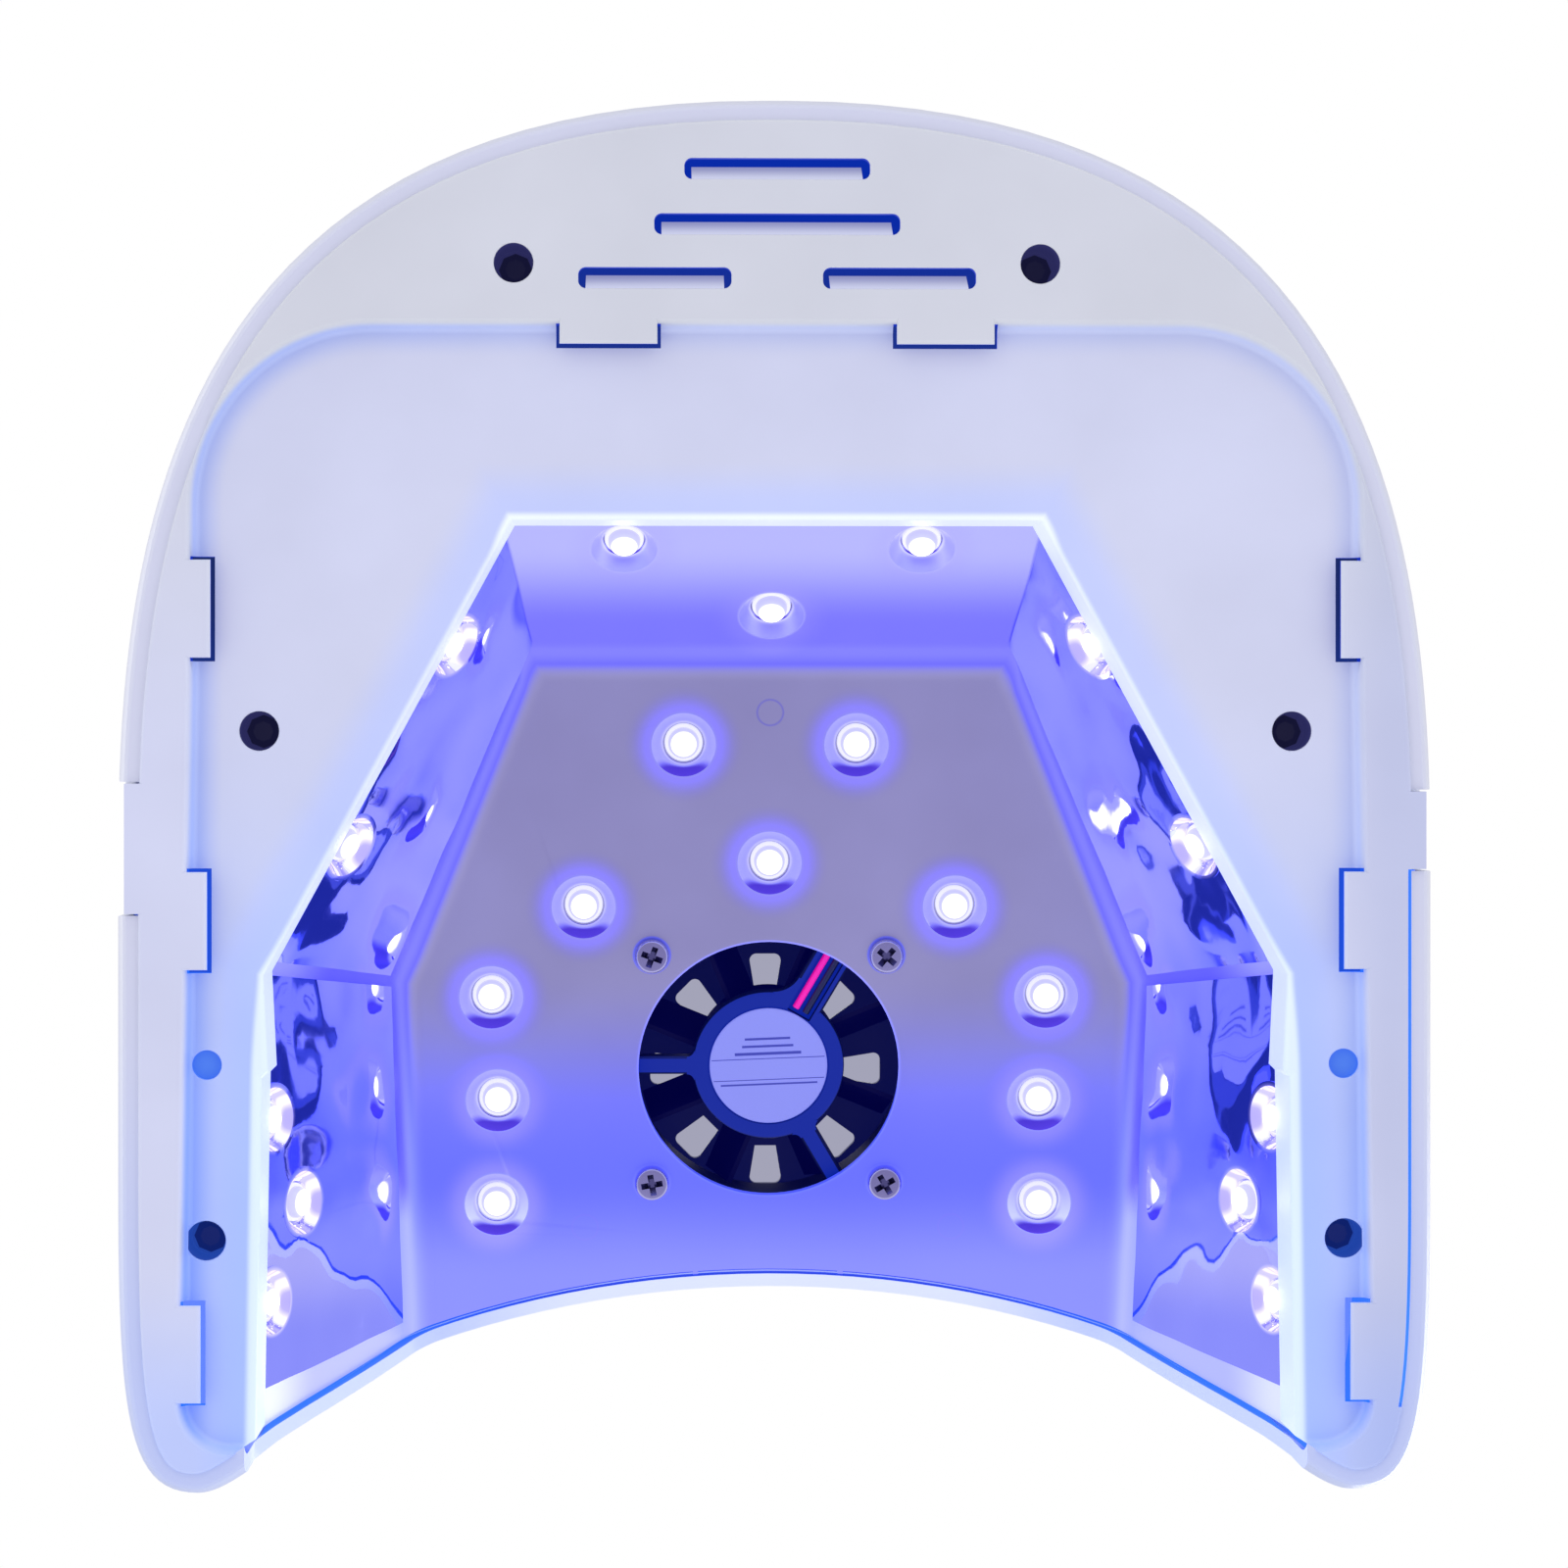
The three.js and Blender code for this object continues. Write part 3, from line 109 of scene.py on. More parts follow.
COLLAR_STEP_AT = -0.394 * HALF_DEPTH
COLLAR_STEP = 1
WELL_RADIUS = 3.15
WELL_DEPTH = 14
WELL_EASE = 0.3
SMALL_EASE = 0.2
FACE_NEAR = 0.1
SHANK = 1.2
SHANK_HOLE = 1.6
BOSS_RADIUS = 4.9
BOSS_FOOT = 0.5
BOSS_HEIGHT = 16.2
WELLS = [(sx * x * HALF_WIDTH, y * HALF_DEPTH)
         for x, y in ((0.398, 0.76), (0.783, 0.093), (0.8635, -0.635)) for sx in (1, -1)]
LOCATING_HOLES = [(sx * 0.862 * HALF_WIDTH, -0.384 * HALF_DEPTH) for sx in (1, -1)]
LOCATING_RADIUS = 2.35
LOCATING_TOP = 4.4
VENT_WIDTH = 3.35
VENT_CORNER = 1.2
LOUVRE_FOOT = 0.3
LOUVRE_HEIGHT = 7
LOUVRE_REACH = 2.7
LOUVRE_THICKNESS = 1
LOUVRE_END_GAP = 1.15
VENTS = [(0, 0.895 * HALF_DEPTH, 29.6), (0, 0.816 * HALF_DEPTH, 39.2),
         (19.5, 0.739 * HALF_DEPTH, 24.4), (-19.5, 0.739 * HALF_DEPTH, 24.4)]
TAB_LENGTH = 15.6
TAB_REACH = 3.2
TAB_THICKNESS = 1.6
TAB_ROUND = 0.8
TAB_SIDE_ROUND = 0.3
TAB_SLIT = 0.55
BACK_TAB = 0.255 * HALF_WIDTH
SIDE_TABS = [share * HALF_DEPTH for share in (0.267, -0.178, -0.795)]

# Side notches of the skirt, filled by tabs of the lower case
NOTCH_HEIGHT = 17
NOTCH_CORNER = 2.5
INLET_NOTCH = {"side": -1, "y": -0.049 * HALF_DEPTH, "width": 13}
NOTCHES = (INLET_NOTCH, {"side": 1, "y": -0.075 * HALF_DEPTH, "width": 21.3})
NOTCH_START = HALF_WIDTH - SEAM_INSET - RIM_WALL
TAB_FLUSH = 1.7
NOTCH_FLARE = 0.9
FLARE_STEPS = 5
INLET_HEIGHT = 10.2
INLET_NOSE = 4.1
SIDE_GAP = 0.7
SIDE_GAP_ENDS = (-0.875 * HALF_DEPTH, -0.105 * HALF_DEPTH)

# Hand space: corners of the opening at the collar and of the ceiling, on the right
OPENING_CORNERS = [(0.402, 0.395), (0.777, -0.256), (0.7905, -1.03)]
CEILING_CORNERS = [(0.368, 0.206), (0.584, -0.288), (0.563, -0.895)]
CEILING_HEIGHT = 0.6656 * HEIGHT
CEILING_SLOPE = 0.185
FAN_Y = -0.421 * HALF_DEPTH
LINER_FOOT = 0.228 * HEIGHT
LINER_WALL = 1.5
CREASE_RADIUS = 4
CREASE_STEPS = 8
WALL_STEPS = (18, 12, 1, 12, 18)
WALL_ENDS = {"side_right": (1, 0), "angled_right": (2, 1), "back": (3, 2), "angled_left": (3, 4),
             "side_left": (4, 5)}
SHEET_THICKNESS = 0.6
SEAT_DEPTH = SHEET_THICKNESS + GAP * 2
SHEET_STEPS = 40
SHEET_RISE_STEPS = 26
SHEET_HEAD_GAP = 0.45
# How far along its wall a sheet starts and ends, at its foot and its head
SHEET_ALONG = {"angled": ((0.018, 0.018), (0.985, 0.985)), "side": ((0.012, 0.012), (0.8, 0.848))}
SHEET_WAVE = 0.3
SHEET_WAVE_LENGTH = 10
SHEET_RIPPLE = 0.06
SHEET_RIPPLE_LENGTH = 4.5
NUB_OFFSET = 12.5
NUB_WIDTH = 0.9
NUB_REACH = 0.5

# Lamp beads and their dishes
BEAD_RADIUS = 3.2
BEAD_BODY = 1.2
BEAD_DOME = 2.4
BEAD_HOLE = BEAD_RADIUS + 0.35
BEAD_FOOT_EDGE = 0.15
BEAD_TOP_EDGE = 0.1
LENS_RADIUS = BEAD_RADIUS - 0.5
LENS_SEAT = 0.05
LENS_LIFT = 0.02
DISH_RIM = 5.45
DISH_DEPTH = 2
DISH_WALL = 0.6
DISH_FLARE = ((0.35, 0.12), (1.2, 0.7), (1.4, OVERRUN))
BOWL_SPREAD = 0.8
BOWL_RISE = 1.25
DISH_STEPS = 8
BOARD_FRONT = DISH_DEPTH + DISH_WALL + GAP * 3
DISH_ROOM = 1.2
ROUND_SIDES = 48

# Fan, in a frame whose origin is on the ceiling and whose +Z runs up behind it
FAN_SIZE = 50
FAN_THICKNESS = 10
FAN_HOLE = 22.3
FAN_BORE = 23.4
FAN_PITCH = 40
FAN_SCREW_HOLE = 1.5
FAN_CORNER = 3
FAN_FRONT = LINER_WALL + GAP
FAN_BACK = FAN_FRONT + FAN_THICKNESS
HUB_RADIUS = 13
HUB_FRONT = FAN_FRONT + 0.8
HUB_BACK = HUB_FRONT + 2.4
HUB_ROUND = 0.5
HUB_ROUND_MIDDLE = 0.15
LABEL_RADIUS = 10.1
LABEL_THICKNESS = 0.3
LABEL_EDGE = (0.2, 0.15)
PRINT_MARGIN = 0.3
PRINT_PROUD = 0.03
PRINT_TURN = -2.3
PRINT_BARS = [(0, 1.3, 19.9, 0.14), (0, -2.4, 19.5, 0.14), (0, 2.2, 11.4, 0.5), (0, 3.5, 8.8, 0.4),
              (0, 4.8, 7.8, 0.4), (0, -3.2, 16.6, 0.3)]
STRUT_WIDTH = 3.1
STRUT_DEPTH = 2.4
STRUT_FILLET = 1.3
STRUT_EASE = 0.35
LEAD_FILLET = 5
LEAD_STRUT_WIDTH = 6.4
LEAD_CHANNEL_WIDTH = 4.4
STRUT_ANGLES = [0, math.tau / 3, math.tau * 2 / 3]
LEAD_STRUT = 1
BEARING_RADIUS = 3.2
BEARING_BORE = 1.3
BEARING_ENDS = (HUB_BACK - 1, HUB_BACK + 4)
ROTOR_HUB = 12.4
ROTOR_WALL = 1.2
ROTOR_EDGE = 0.4
SPINDLE = 1
BLADE_COUNT = 8
BLADE_TIP = FAN_BORE - 0.8
BLADE_PITCH = 0.87
BLADE_THICKNESS = 1
BLADE_CAMBER = 0.5
BLADE_STATIONS = 8
BLADE_STEPS = 6
BLADE_THIN_EDGE = 0.35
BLADE_THICKEST = 0.25
LEAD_RADIUS = 0.6
LEAD_SPACING = 1.9
LEAD_PLUG_REACH = 48
LEAD_PLUG = 8
LEAD_STEPS = 10
SCREW_HEAD = 2.9
SCREW_HEAD_HEIGHT = 1.6
SCREW_ARM = 2.1
SCREW_ARM_WIDTH = 1.1
CROSS_DEPTH = 1.3
CROSS_TAPER = (0.35, 0.6)
CROSS_TURN = 20
SHANK_END = 7
SHANK_POINT = 9
MARK_RADIUS = 2.2
CEILING_MARKS = [(0, 13.9), (31.5, -74.5), (-31.5, -74.5)]
FAN_SIDES = 96

# Lamp beads: shares along and up each kind of wall, and places on the ceiling
WALL_BEADS = {
    "back": ((0.21, 0.27), (0.79, 0.27), (0.5, 0.71)),
    "angled": ((0.25, 0.2), (0.715, 0.205)),
    "side": ((0.29, 0.135), (0.47, 0.315), (0.645, 0.135)),
}
BEAD_ROWS = ((0.1386, 0.0756), (0.4493, -0.3097), (0.4398, -0.469), (0.4427, -0.631))
FAN_REAR = FAN_Y + FAN_SIZE / 2
CEILING_BEADS = [(sx * x * HALF_WIDTH, y * HALF_DEPTH) for x, y in BEAD_ROWS for sx in (1, -1)]
CEILING_BEADS += [(0, FAN_REAR + 10.4)]
CEILING_BEADS += [(sx * (FAN_SIZE / 2 + 6.6), FAN_REAR + 2.9) for sx in (1, -1)]

# Deck
DECK_THROUGH = (HEIGHT - SHELL_WALL - OVERRUN, HEIGHT + OVERRUN)
VENT_RING_INNER = 13.6
VENT_RING_OUTER = 20.3
VENT_RING_Y = FAN_Y - 1.5
RING_VENTS = 8
RING_VENT_OUTER = 5.5
RING_VENT_INNER = 3.7
RING_VENT_CORNER = 1.2
BUTTONS = range(1, 5)
BUTTON_RADIUS = 7
BUTTON_STEM = 2.4
BUTTON_FLANGE = 1
BUTTON_EDGE = (0.5, 0.35)
# The dish in a button's top: how far in from its edge and how far down each point lies
BUTTON_DISH = ((1.1, 0), (2.2, 0.12), (0.65 * BUTTON_RADIUS, 0.32), (BUTTON_RADIUS, 0.36))
BUTTON_CLEARANCE = 0.35
DISPLAY_WIDTH = 44
DISPLAY_LENGTH = 19
DISPLAY_Y = 0.135 * HALF_DEPTH
DISPLAY_POCKET = 1.2
DISPLAY_LEDGE = 2
DISPLAY_CORNER = 2
DISPLAY_EDGE = 0.35

# Looks
BLACK = (0, 0, 0)
SOFT_BOX = (1.08, 1.10, 1.28)
FLOOR_HALF = 3
FLOOR_DROP = 0.2
SLOW_GRAIN = 35
SLOW_RANGE = (0.3, 0.7)

# The photograph's camera: place, aim and focal length in pixels of the 1600-pixel frame
PHOTO_SIDE = 1600
FOCAL_PIXELS = 5125
SENSOR = 36
CLIP_START = 0.05
CAMERA_AT = Vector((19.7, 3.65, -800)) * MM
CAMERA_AIM = Vector((-1.06, 1.93, 0)) * MM


def placed(name, data):
    """A new object in the scene."""
    made = bpy.data.objects.new(name, data)
    bpy.context.scene.collection.objects.link(made)
    return made


def axes(x, y, z):
    """A turn that lays the three axes along three directions."""
    return Matrix((x, y, z)).transposed().to_4x4()


def make_camera():
    data = bpy.data.cameras.new("camera")
    data.sensor_width = SENSOR
    data.lens = FOCAL_PIXELS * SENSOR / PHOTO_SIDE
    data.clip_start = CLIP_START
    camera = placed("camera", data)
    ahead = (CAMERA_AIM - CAMERA_AT).normalized()
    right = ahead.cross(Vector((0, 1, 0))).normalized()
    camera.matrix_world = Matrix.Translation(CAMERA_AT) @ axes(right, right.cross(ahead), -ahead)
    bpy.context.scene.camera = camera


make_camera()


# Points and angles
def raised(points, z):
    return [Vector((p[0], p[1], z)) for p in points]


def mirrored(points):
    return [Vector((-p[0], p[1])) for p in reversed(points)]


def quarter(steps):
    """The angles of a quarter turn."""
    return [math.pi / 2 * i / steps for i in range(steps + 1)]


def arc(x, y, radius, angles):
    return [(x + radius * math.cos(a), y + radius * math.sin(a)) for a in angles]


def circle(radius, sides=ROUND_SIDES, x=0, y=0):
    return arc(x, y, radius, [math.tau * i / sides for i in range(sides)])


def rounding(radius, steps):
    """How far in and how high the points of a rounded edge lie, from its foot."""
    return [(radius * (1 - math.sin(a)), radius * (1 - math.cos(a))) for a in quarter(steps)]


def rounded_box(half_x, half_y, corner, steps=10):
    found = []
    for sx, sy, start in ((1, -1, -0.25), (1, 1, 0), (-1, 1, 0.25), (-1, -1, 0.5)):
        angles = [math.tau * (start + 0.25 * i / steps) for i in range(steps + 1)]
        found += arc(sx * (half_x - corner), sy * (half_y - corner), corner, angles)
    return found


def bezier(a, b, c, d, steps):
    a, b, c, d = Vector(a), Vector(b), Vector(c), Vector(d)
    shares = [i / steps for i in range(1, steps + 1)]
    return [a * (1 - t) ** 3 + b * 3 * t * (1 - t) ** 2 + c * 3 * t * t * (1 - t) + d * t ** 3
            for t in shares]


def catmull(points, steps):
    """A smooth curve through some points."""
    found = []
    padded = [points[0] * 2 - points[1], *points, points[-1] * 2 - points[-2]]
    for a, b, c, d in zip(padded, padded[1:], padded[2:], padded[3:]):
        for t in (step / steps for step in range(steps)):
            found.append(0.5 * (b * 2 + (c - a) * t + (a * 2 - b * 5 + c * 4 - d) * t * t
                                + (b * 3 - a - c * 3 + d) * t ** 3))
    return [*found, points[-1]]


def shift(x=0, y=0, z=0):
    return Matrix.Translation((x, y, z))


def about_z(angle):
    return Matrix.Rotation(angle, 4, "Z")


# Solids
def new_body(points, faces):
    mesh = bpy.data.meshes.new("body")
    mesh.from_pydata([Vector(p) * MM for p in points], [], faces)
    shape = bmesh.new()
    shape.from_mesh(mesh)
    bmesh.ops.remove_doubles(shape, verts=shape.verts, dist=1e-7)
    bmesh.ops.recalc_face_normals(shape, faces=shape.faces)
    shape.to_mesh(mesh)
    shape.free()
    return placed("body", mesh)


def between_rings(total, count):
    faces = []
    for level in range(0, total - count, count):
        for i in range(count):
            a, b = level + i, level + (i + 1) % count
            faces.append((a, b, b + count, a + count))
    return faces


def loft(rings):
    count = len(rings[0])
    points = [p for ring in rings for p in ring]
    ends = [list(range(count))[::-1], [len(points) - count + i for i in range(count)]]
    return new_body(points, ends + between_rings(len(points), count))


def prism(points, low, high):
    return loft([raised(points, low), raised(points, high)])


def block(x, y, z):
    return prism([(x[0], y[0]), (x[1], y[0]), (x[1], y[1]), (x[0], y[1])], *z)


def rod(radius, low, high, x=0, y=0, sides=ROUND_SIDES):
    return prism(circle(radius, sides, x, y), low, high)


def revolve(profile, sides=ROUND_SIDES):
    """A body turned about Z from a profile of (radius, height) that starts and ends on the axis."""
    inner = profile[1:-1]
    points = [(0, 0, profile[0][1]), (0, 0, profile[-1][1])]
    for radius, z in inner:
        points += [(x, y, z) for x, y in circle(radius, sides)]
    faces = []
    last = 2 + (len(inner) - 1) * sides
    for i in range(sides):
        j = (i + 1) % sides
        faces += [(0, 2 + j, 2 + i), (1, last + i, last + j)]
        for level in range(2, last, sides):
            faces.append((level + i, level + j, level + j + sides, level + i + sides))
    return new_body(points, faces)


def tube(points, radius, sides=16):
    rings = []
    up = Vector((0, 0, 1))
    for i, point in enumerate(points):
        ahead = (points[min(i + 1, len(points) - 1)] - points[max(i - 1, 0)]).normalized()
        across = ahead.cross(up).normalized() if abs(ahead.dot(up)) < 0.98 else across
        lift = across.cross(ahead).normalized()
        rings.append([point + (across * x + lift * y) for x, y in circle(radius, sides)])
    return loft(rings)


def moved(made, matrix):
    """Moves a body by a matrix in millimetres."""
    scaled = matrix.copy()
    scaled.translation = matrix.translation * MM
    made.data.transform(scaled)
    return made


def drop(made):
    bpy.data.objects.remove(made, do_unlink=True)


def together(bodies):
    """One object of several bodies that don't touch."""
    shape = bmesh.new()
    for body in bodies:
        shape.from_mesh(body.data)
        drop(body)
    mesh = bpy.data.meshes.new("group")
    shape.to_mesh(mesh)
    shape.free()
    return placed("group", mesh)


def settled(made):
    """Puts what a body's modifiers make of it in place of its mesh."""
    done = made.evaluated_get(bpy.context.evaluated_depsgraph_get())
    mesh = bpy.data.meshes.new_from_object(done)
    made.modifiers.clear()
    made.data = mesh
    return made


def combine(base, operation, tools):
    for tool in tools:
        step = base.modifiers.new(operation, "BOOLEAN")
        step.solver = "MANIFOLD"
        step.operation = operation
        step.object = tool
    settled(base)
    for tool in tools:
        drop(tool)
    return base


def plus(base, *tools):
    return combine(base, "UNION", tools)


def minus(base, *tools):
    return combine(base, "DIFFERENCE", tools)


def within(base, *tools):
    return combine(base, "INTERSECT", tools)


# The shell's outline and its skins
def right_outline():
    angle = math.asin(FRONT_ARC_END / FRONT_ARC)
    arc_steps, leg_steps, tip_steps, side_steps, back_steps = OUTLINE_STEPS
    centre = -FRONT_REACH - FRONT_ARC
    turns = [angle * i / arc_steps for i in range(arc_steps + 1)]
    points = [Vector((FRONT_ARC * math.sin(turn), centre + FRONT_ARC * math.cos(turn))) for turn in turns]
    end = points[-1]
    leave = end + Vector((math.cos(angle), -math.sin(angle))) * LEG_INNER_EASE
    tip = (LEG_TIP, -HALF_DEPTH)
    points += bezier(end, leave, (LEG_TIP - LEG_INNER_EASE, -HALF_DEPTH), tip, leg_steps)
    points += bezier(tip, (LEG_OUTER_EASE, -HALF_DEPTH), (HALF_WIDTH, -LEG_SHOULDER),
                     (HALF_WIDTH, -SIDE_START), tip_steps)
    points += [Vector((HALF_WIDTH, -SIDE_START + (SIDE_START - SIDE_END) * i / side_steps))
               for i in range(1, side_steps + 1)]
    points += bezier((HALF_WIDTH, -SIDE_END), (HALF_WIDTH, BACK_CORNER), (BACK_EASE, HALF_DEPTH),
                     (BACK_FLAT, HALF_DEPTH), back_steps)
    return points


RIGHT = right_outline()
OUTLINE = RIGHT + mirrored(RIGHT[1:])


def inset(distance):
    found = []
    for i, point in enumerate(OUTLINE):
        before = (point - OUTLINE[i - 1]).normalized()
        after = (OUTLINE[(i + 1) % len(OUTLINE)] - point).normalized()
        along = (before + after).normalized()
        found.append(Vector((point.x - along.y * distance, point.y + along.x * distance)))
    return found


def shell_ring(distance, scale, z):
    return [Vector((p.x * scale, DECK_CENTRE + (p.y - DECK_CENTRE) * scale, z)) for p in inset(distance)]


def skirt_tuck(z):
    return SKIRT_TUCK * ((BULGE_HEIGHT - z) / (BULGE_HEIGHT - SKIRT_FOOT)) ** SKIRT_POWER


def shell_space(distance, top, foot, foot_round=0.0):
    """The body inside the shell's outer face, or inside a skin some way in from it."""
    if foot_round:
        rings = [shell_ring(distance + skirt_tuck(foot) + pull, 1, foot + z)
                 for pull, z in rounding(foot_round, 4)[:-1]]
    else:
        rings = [shell_ring(distance + SKIRT_TUCK, 1, foot)]
    start = max(foot + foot_round, SKIRT_FOOT)
    for i in range(SKIRT_STEPS + 1):
        z = start + (BULGE_HEIGHT - start) * i / SKIRT_STEPS
        rings.append(shell_ring(distance + skirt_tuck(z), 1, z))
    for turn in quarter(DOME_STEPS):
        scale = DECK_SCALE + (1 - DECK_SCALE) * math.cos(turn)
        rings.append(shell_ring(distance, scale, SHOULDER + (top - SHOULDER) * math.sin(turn)))
    return loft(rings)


# Hand space surfaces. An edge list runs right front, middle and back, then left back, middle and front.
def ceiling_at(y):
    return CEILING_HEIGHT - CEILING_SLOPE * (y - FAN_Y)


def open_edge(corners):
    right = [Vector((x * HALF_WIDTH, y * HALF_DEPTH)) for x, y in reversed(corners)]
    return right + mirrored(right)


def offset_edges(points, distances):
    lines = []
    for start, end, distance in zip(points, points[1:], distances):
        along = (end - start).normalized()
        lines.append((start + Vector((along.y, -along.x)) * distance, along))
    found = []
    for i, point in enumerate(points):
        start, along = lines[max(i - 1, 0)]
        next_start, next_along = lines[min(i, len(lines) - 1)]
        if i in (0, len(points) - 1):
            reach = (point - start).dot(along)
        else:
            offset = next_start - start
            cross = along.x * next_along.y - along.y * next_along.x
            reach = (offset.x * next_along.y - offset.y * next_along.x) / cross
        found.append(start + along * reach)
    return found


def evenly(distance):
    return [distance] * 5


OPENING = open_edge(OPENING_CORNERS)
CEILING = open_edge(CEILING_CORNERS)
WALL_AT_COLLAR = offset_edges(OPENING, evenly(COLLAR_WALL + SEAM_GAP))
WALL_FOOT = [p + (p - top) * ((COLLAR_TOP - LINER_FOOT) / (ceiling_at(top.y) - COLLAR_TOP))
             for p, top in zip(WALL_AT_COLLAR, CEILING)]


def on_ceiling(points, lift):
    return [Vector((p.x, p.y, ceiling_at(p.y) + lift)) for p in points]


def wall_surface(back, front):
    """One flat wall as a function of shares along (back to front) and up, and a distance behind it."""
    a, b = raised([WALL_FOOT[back], WALL_FOOT[front]], LINER_FOOT)
    d, c = on_ceiling([CEILING[back], CEILING[front]], 0)

    def place(along, up, behind=0.0):
        run = (b.lerp(c, up) - a.lerp(d, up)).normalized()
        rise = (d.lerp(c, along) - a.lerp(b, along)).normalized()
        normal = run.cross(rise).normalized()
        if normal.z < 0:
            normal.negate()
        point = a.lerp(b, along).lerp(d.lerp(c, along), up)
        return point + normal * behind, normal, run

    return place


WALLS = {name: wall_surface(*ends) for name, ends in WALL_ENDS.items()}
SHEET_WALLS = [name for name in WALLS if name != "back"]


def kind_of(wall):
    return wall.split("_")[0]


def behind_walls(distance_of):
    found = []
    for name, wall in WALLS.items():
        normal = wall(0.5, 0.5)[1]
        found.append(distance_of(name) / math.hypot(normal.x, normal.y))
    return found


def seat_of(name):
    return SEAT_DEPTH if name in SHEET_WALLS else 0


LINER_FACE = behind_walls(seat_of)
LINER_BACK = behind_walls(lambda name: seat_of(name) + LINER_WALL)


def in_steps(ring):
    found = []
    for i, steps in enumerate(WALL_STEPS):
        found += [ring[i].lerp(ring[i + 1], step / steps) for step in range(steps)]
    return found + [ring[-1]]


def reflector_rings(distances, lift, foot):
    """Rings up the walls, round the crease and onto the ceiling."""
    low = raised(offset_edges(WALL_FOOT, distances), LINER_FOOT)
    flat_edge = offset_edges(CEILING, distances)
    high = on_ceiling(flat_edge, lift)
    inner = on_ceiling(offset_edges(flat_edge, evenly(-CREASE_RADIUS)), lift)
    rings = [[h.lerp(p, (h.z - foot) / (h.z - LINER_FOOT)) for p, h in zip(low, high)]]
    for t in (step / CREASE_STEPS for step in range(CREASE_STEPS + 1)):
        ring = []
        for corner, below, end in zip(high, low, inner):
            start = corner + (below - corner).normalized() * CREASE_RADIUS
            ring.append(start * (1 - t) ** 2 + corner * 2 * t * (1 - t) + end * t * t)
        rings.append(ring)
    return [in_steps(ring) for ring in rings]


def facing(point, normal, along):
    """A frame on a surface, its +Z pointing into the hand space."""
    out = -normal
    x = (along - out * along.dot(out)).normalized()
    return Matrix.Translation(point) @ axes(x, out.cross(x), out)


ACROSS = Vector((1, 0, 0))
CEILING_NORMAL = Vector((0, CEILING_SLOPE, 1)).normalized()
FAN = shift(0, FAN_Y, ceiling_at(FAN_Y)) @ axes(ACROSS, CEILING_NORMAL.cross(ACROSS), CEILING_NORMAL)
BEAD_FRAMES = {"ceiling": [facing(Vector((x, y, ceiling_at(y))), CEILING_NORMAL, ACROSS)
                           for x, y in CEILING_BEADS]}
for wall_name, wall_place in WALLS.items():
    BEAD_FRAMES[wall_name] = [facing(*wall_place(*shares)) for shares in WALL_BEADS[kind_of(wall_name)]]
LINER_BEADS = BEAD_FRAMES["ceiling"] + BEAD_FRAMES["back"]
SHEET_BEADS = [place for wall in SHEET_WALLS for place in BEAD_FRAMES[wall]]
FAN_SCREWS = [(sx * FAN_PITCH / 2, sy * FAN_PITCH / 2) for sx, sy in ((1, 1), (-1, 1), (-1, -1), (1, -1))]


# Nodes of the materials
def put(tree, socket, value):
    """Links a socket, or sets it to a number, a vector or a colour."""
    if isinstance(value, Field):
        tree.links.new(value.socket, socket)
    elif socket.type == "RGBA":
        socket.default_value = (*value, 1)
    else:
        socket.default_value = value


def node_of(tree, kind, inputs=(), **settings):
    """A node with its settings made, and with its inputs, by name or number, set or linked."""
    node = tree.nodes.new("ShaderNode" + kind)
    for key, value in settings.items():
        setattr(node, key, value)
    for key, value in dict(inputs).items():
        put(tree, node.inputs[key], value)
    return node


def field_of(tree, kind, inputs=(), output=0, **settings):
    return Field(tree, node_of(tree, kind, inputs, **settings).outputs[output])


class Field:
    """A number or a colour that changes over a surface. Sums with it add nodes to its tree."""

    def __init__(self, tree, socket):
        self.tree = tree
        self.socket = socket

    def maths(self, operation, *values):
        return field_of(self.tree, "Math", enumerate(values), operation=operation)

    def __add__(self, other):
        return self.maths("ADD", self, other)

    def __sub__(self, other):
        return self.maths("SUBTRACT", self, other)

    def __rsub__(self, other):
        return self.maths("SUBTRACT", other, self)

    def __mul__(self, other):
        return self.maths("MULTIPLY", self, other)

    def __abs__(self):
        return self.maths("ABSOLUTE", self)

    def least(self, other):
        return self.maths("MINIMUM", self, other)

    def most(self, other):
        return self.maths("MAXIMUM", self, other)

    def scaled(self, start, end, low=0.0, high=1.0, **settings):
        limits = {"Value": self, "From Min": start, "From Max": end, "To Min": low, "To Max": high}
        return field_of(self.tree, "MapRange", limits, **settings)

    def fade(self, start, end, low=0.0, high=1.0):
        """A smooth step between two limits, in millimetres where the field is a length."""
        return self.scaled(start, end, low, high, interpolation_type="SMOOTHSTEP")

    def parts(self):
        node = node_of(self.tree, "SeparateXYZ", {0: self})
        return [Field(self.tree, socket) for socket in node.outputs]

    def far_from(self, point):
        return field_of(self.tree, "VectorMath", {0: self, 1: point}, "Value", operation="DISTANCE")

    def ramp(self, first, *between, last):
        """A colour that runs through stops of (position, colour)."""
        node = node_of(self.tree, "ValToRGB", {0: self})
        stops = node.color_ramp.elements
        for stop, (position, colour) in zip(stops, (first, last)):
            stop.position = position
            stop.color = (*colour, 1)
        for position, colour in between:
            stops.new(position).color = (*colour, 1)
        return Field(self.tree, node.outputs["Color"])


def layered(base, layers, blend="MIX"):
    """A colour with others laid over it in turn, each by its share between 0 and 1."""
    for share, colour in layers:
        inputs = {0: share, 6: base, 7: colour}
        base = field_of(share.tree, "Mix", inputs, 2, data_type="RGBA", blend_type=blend)
    return base


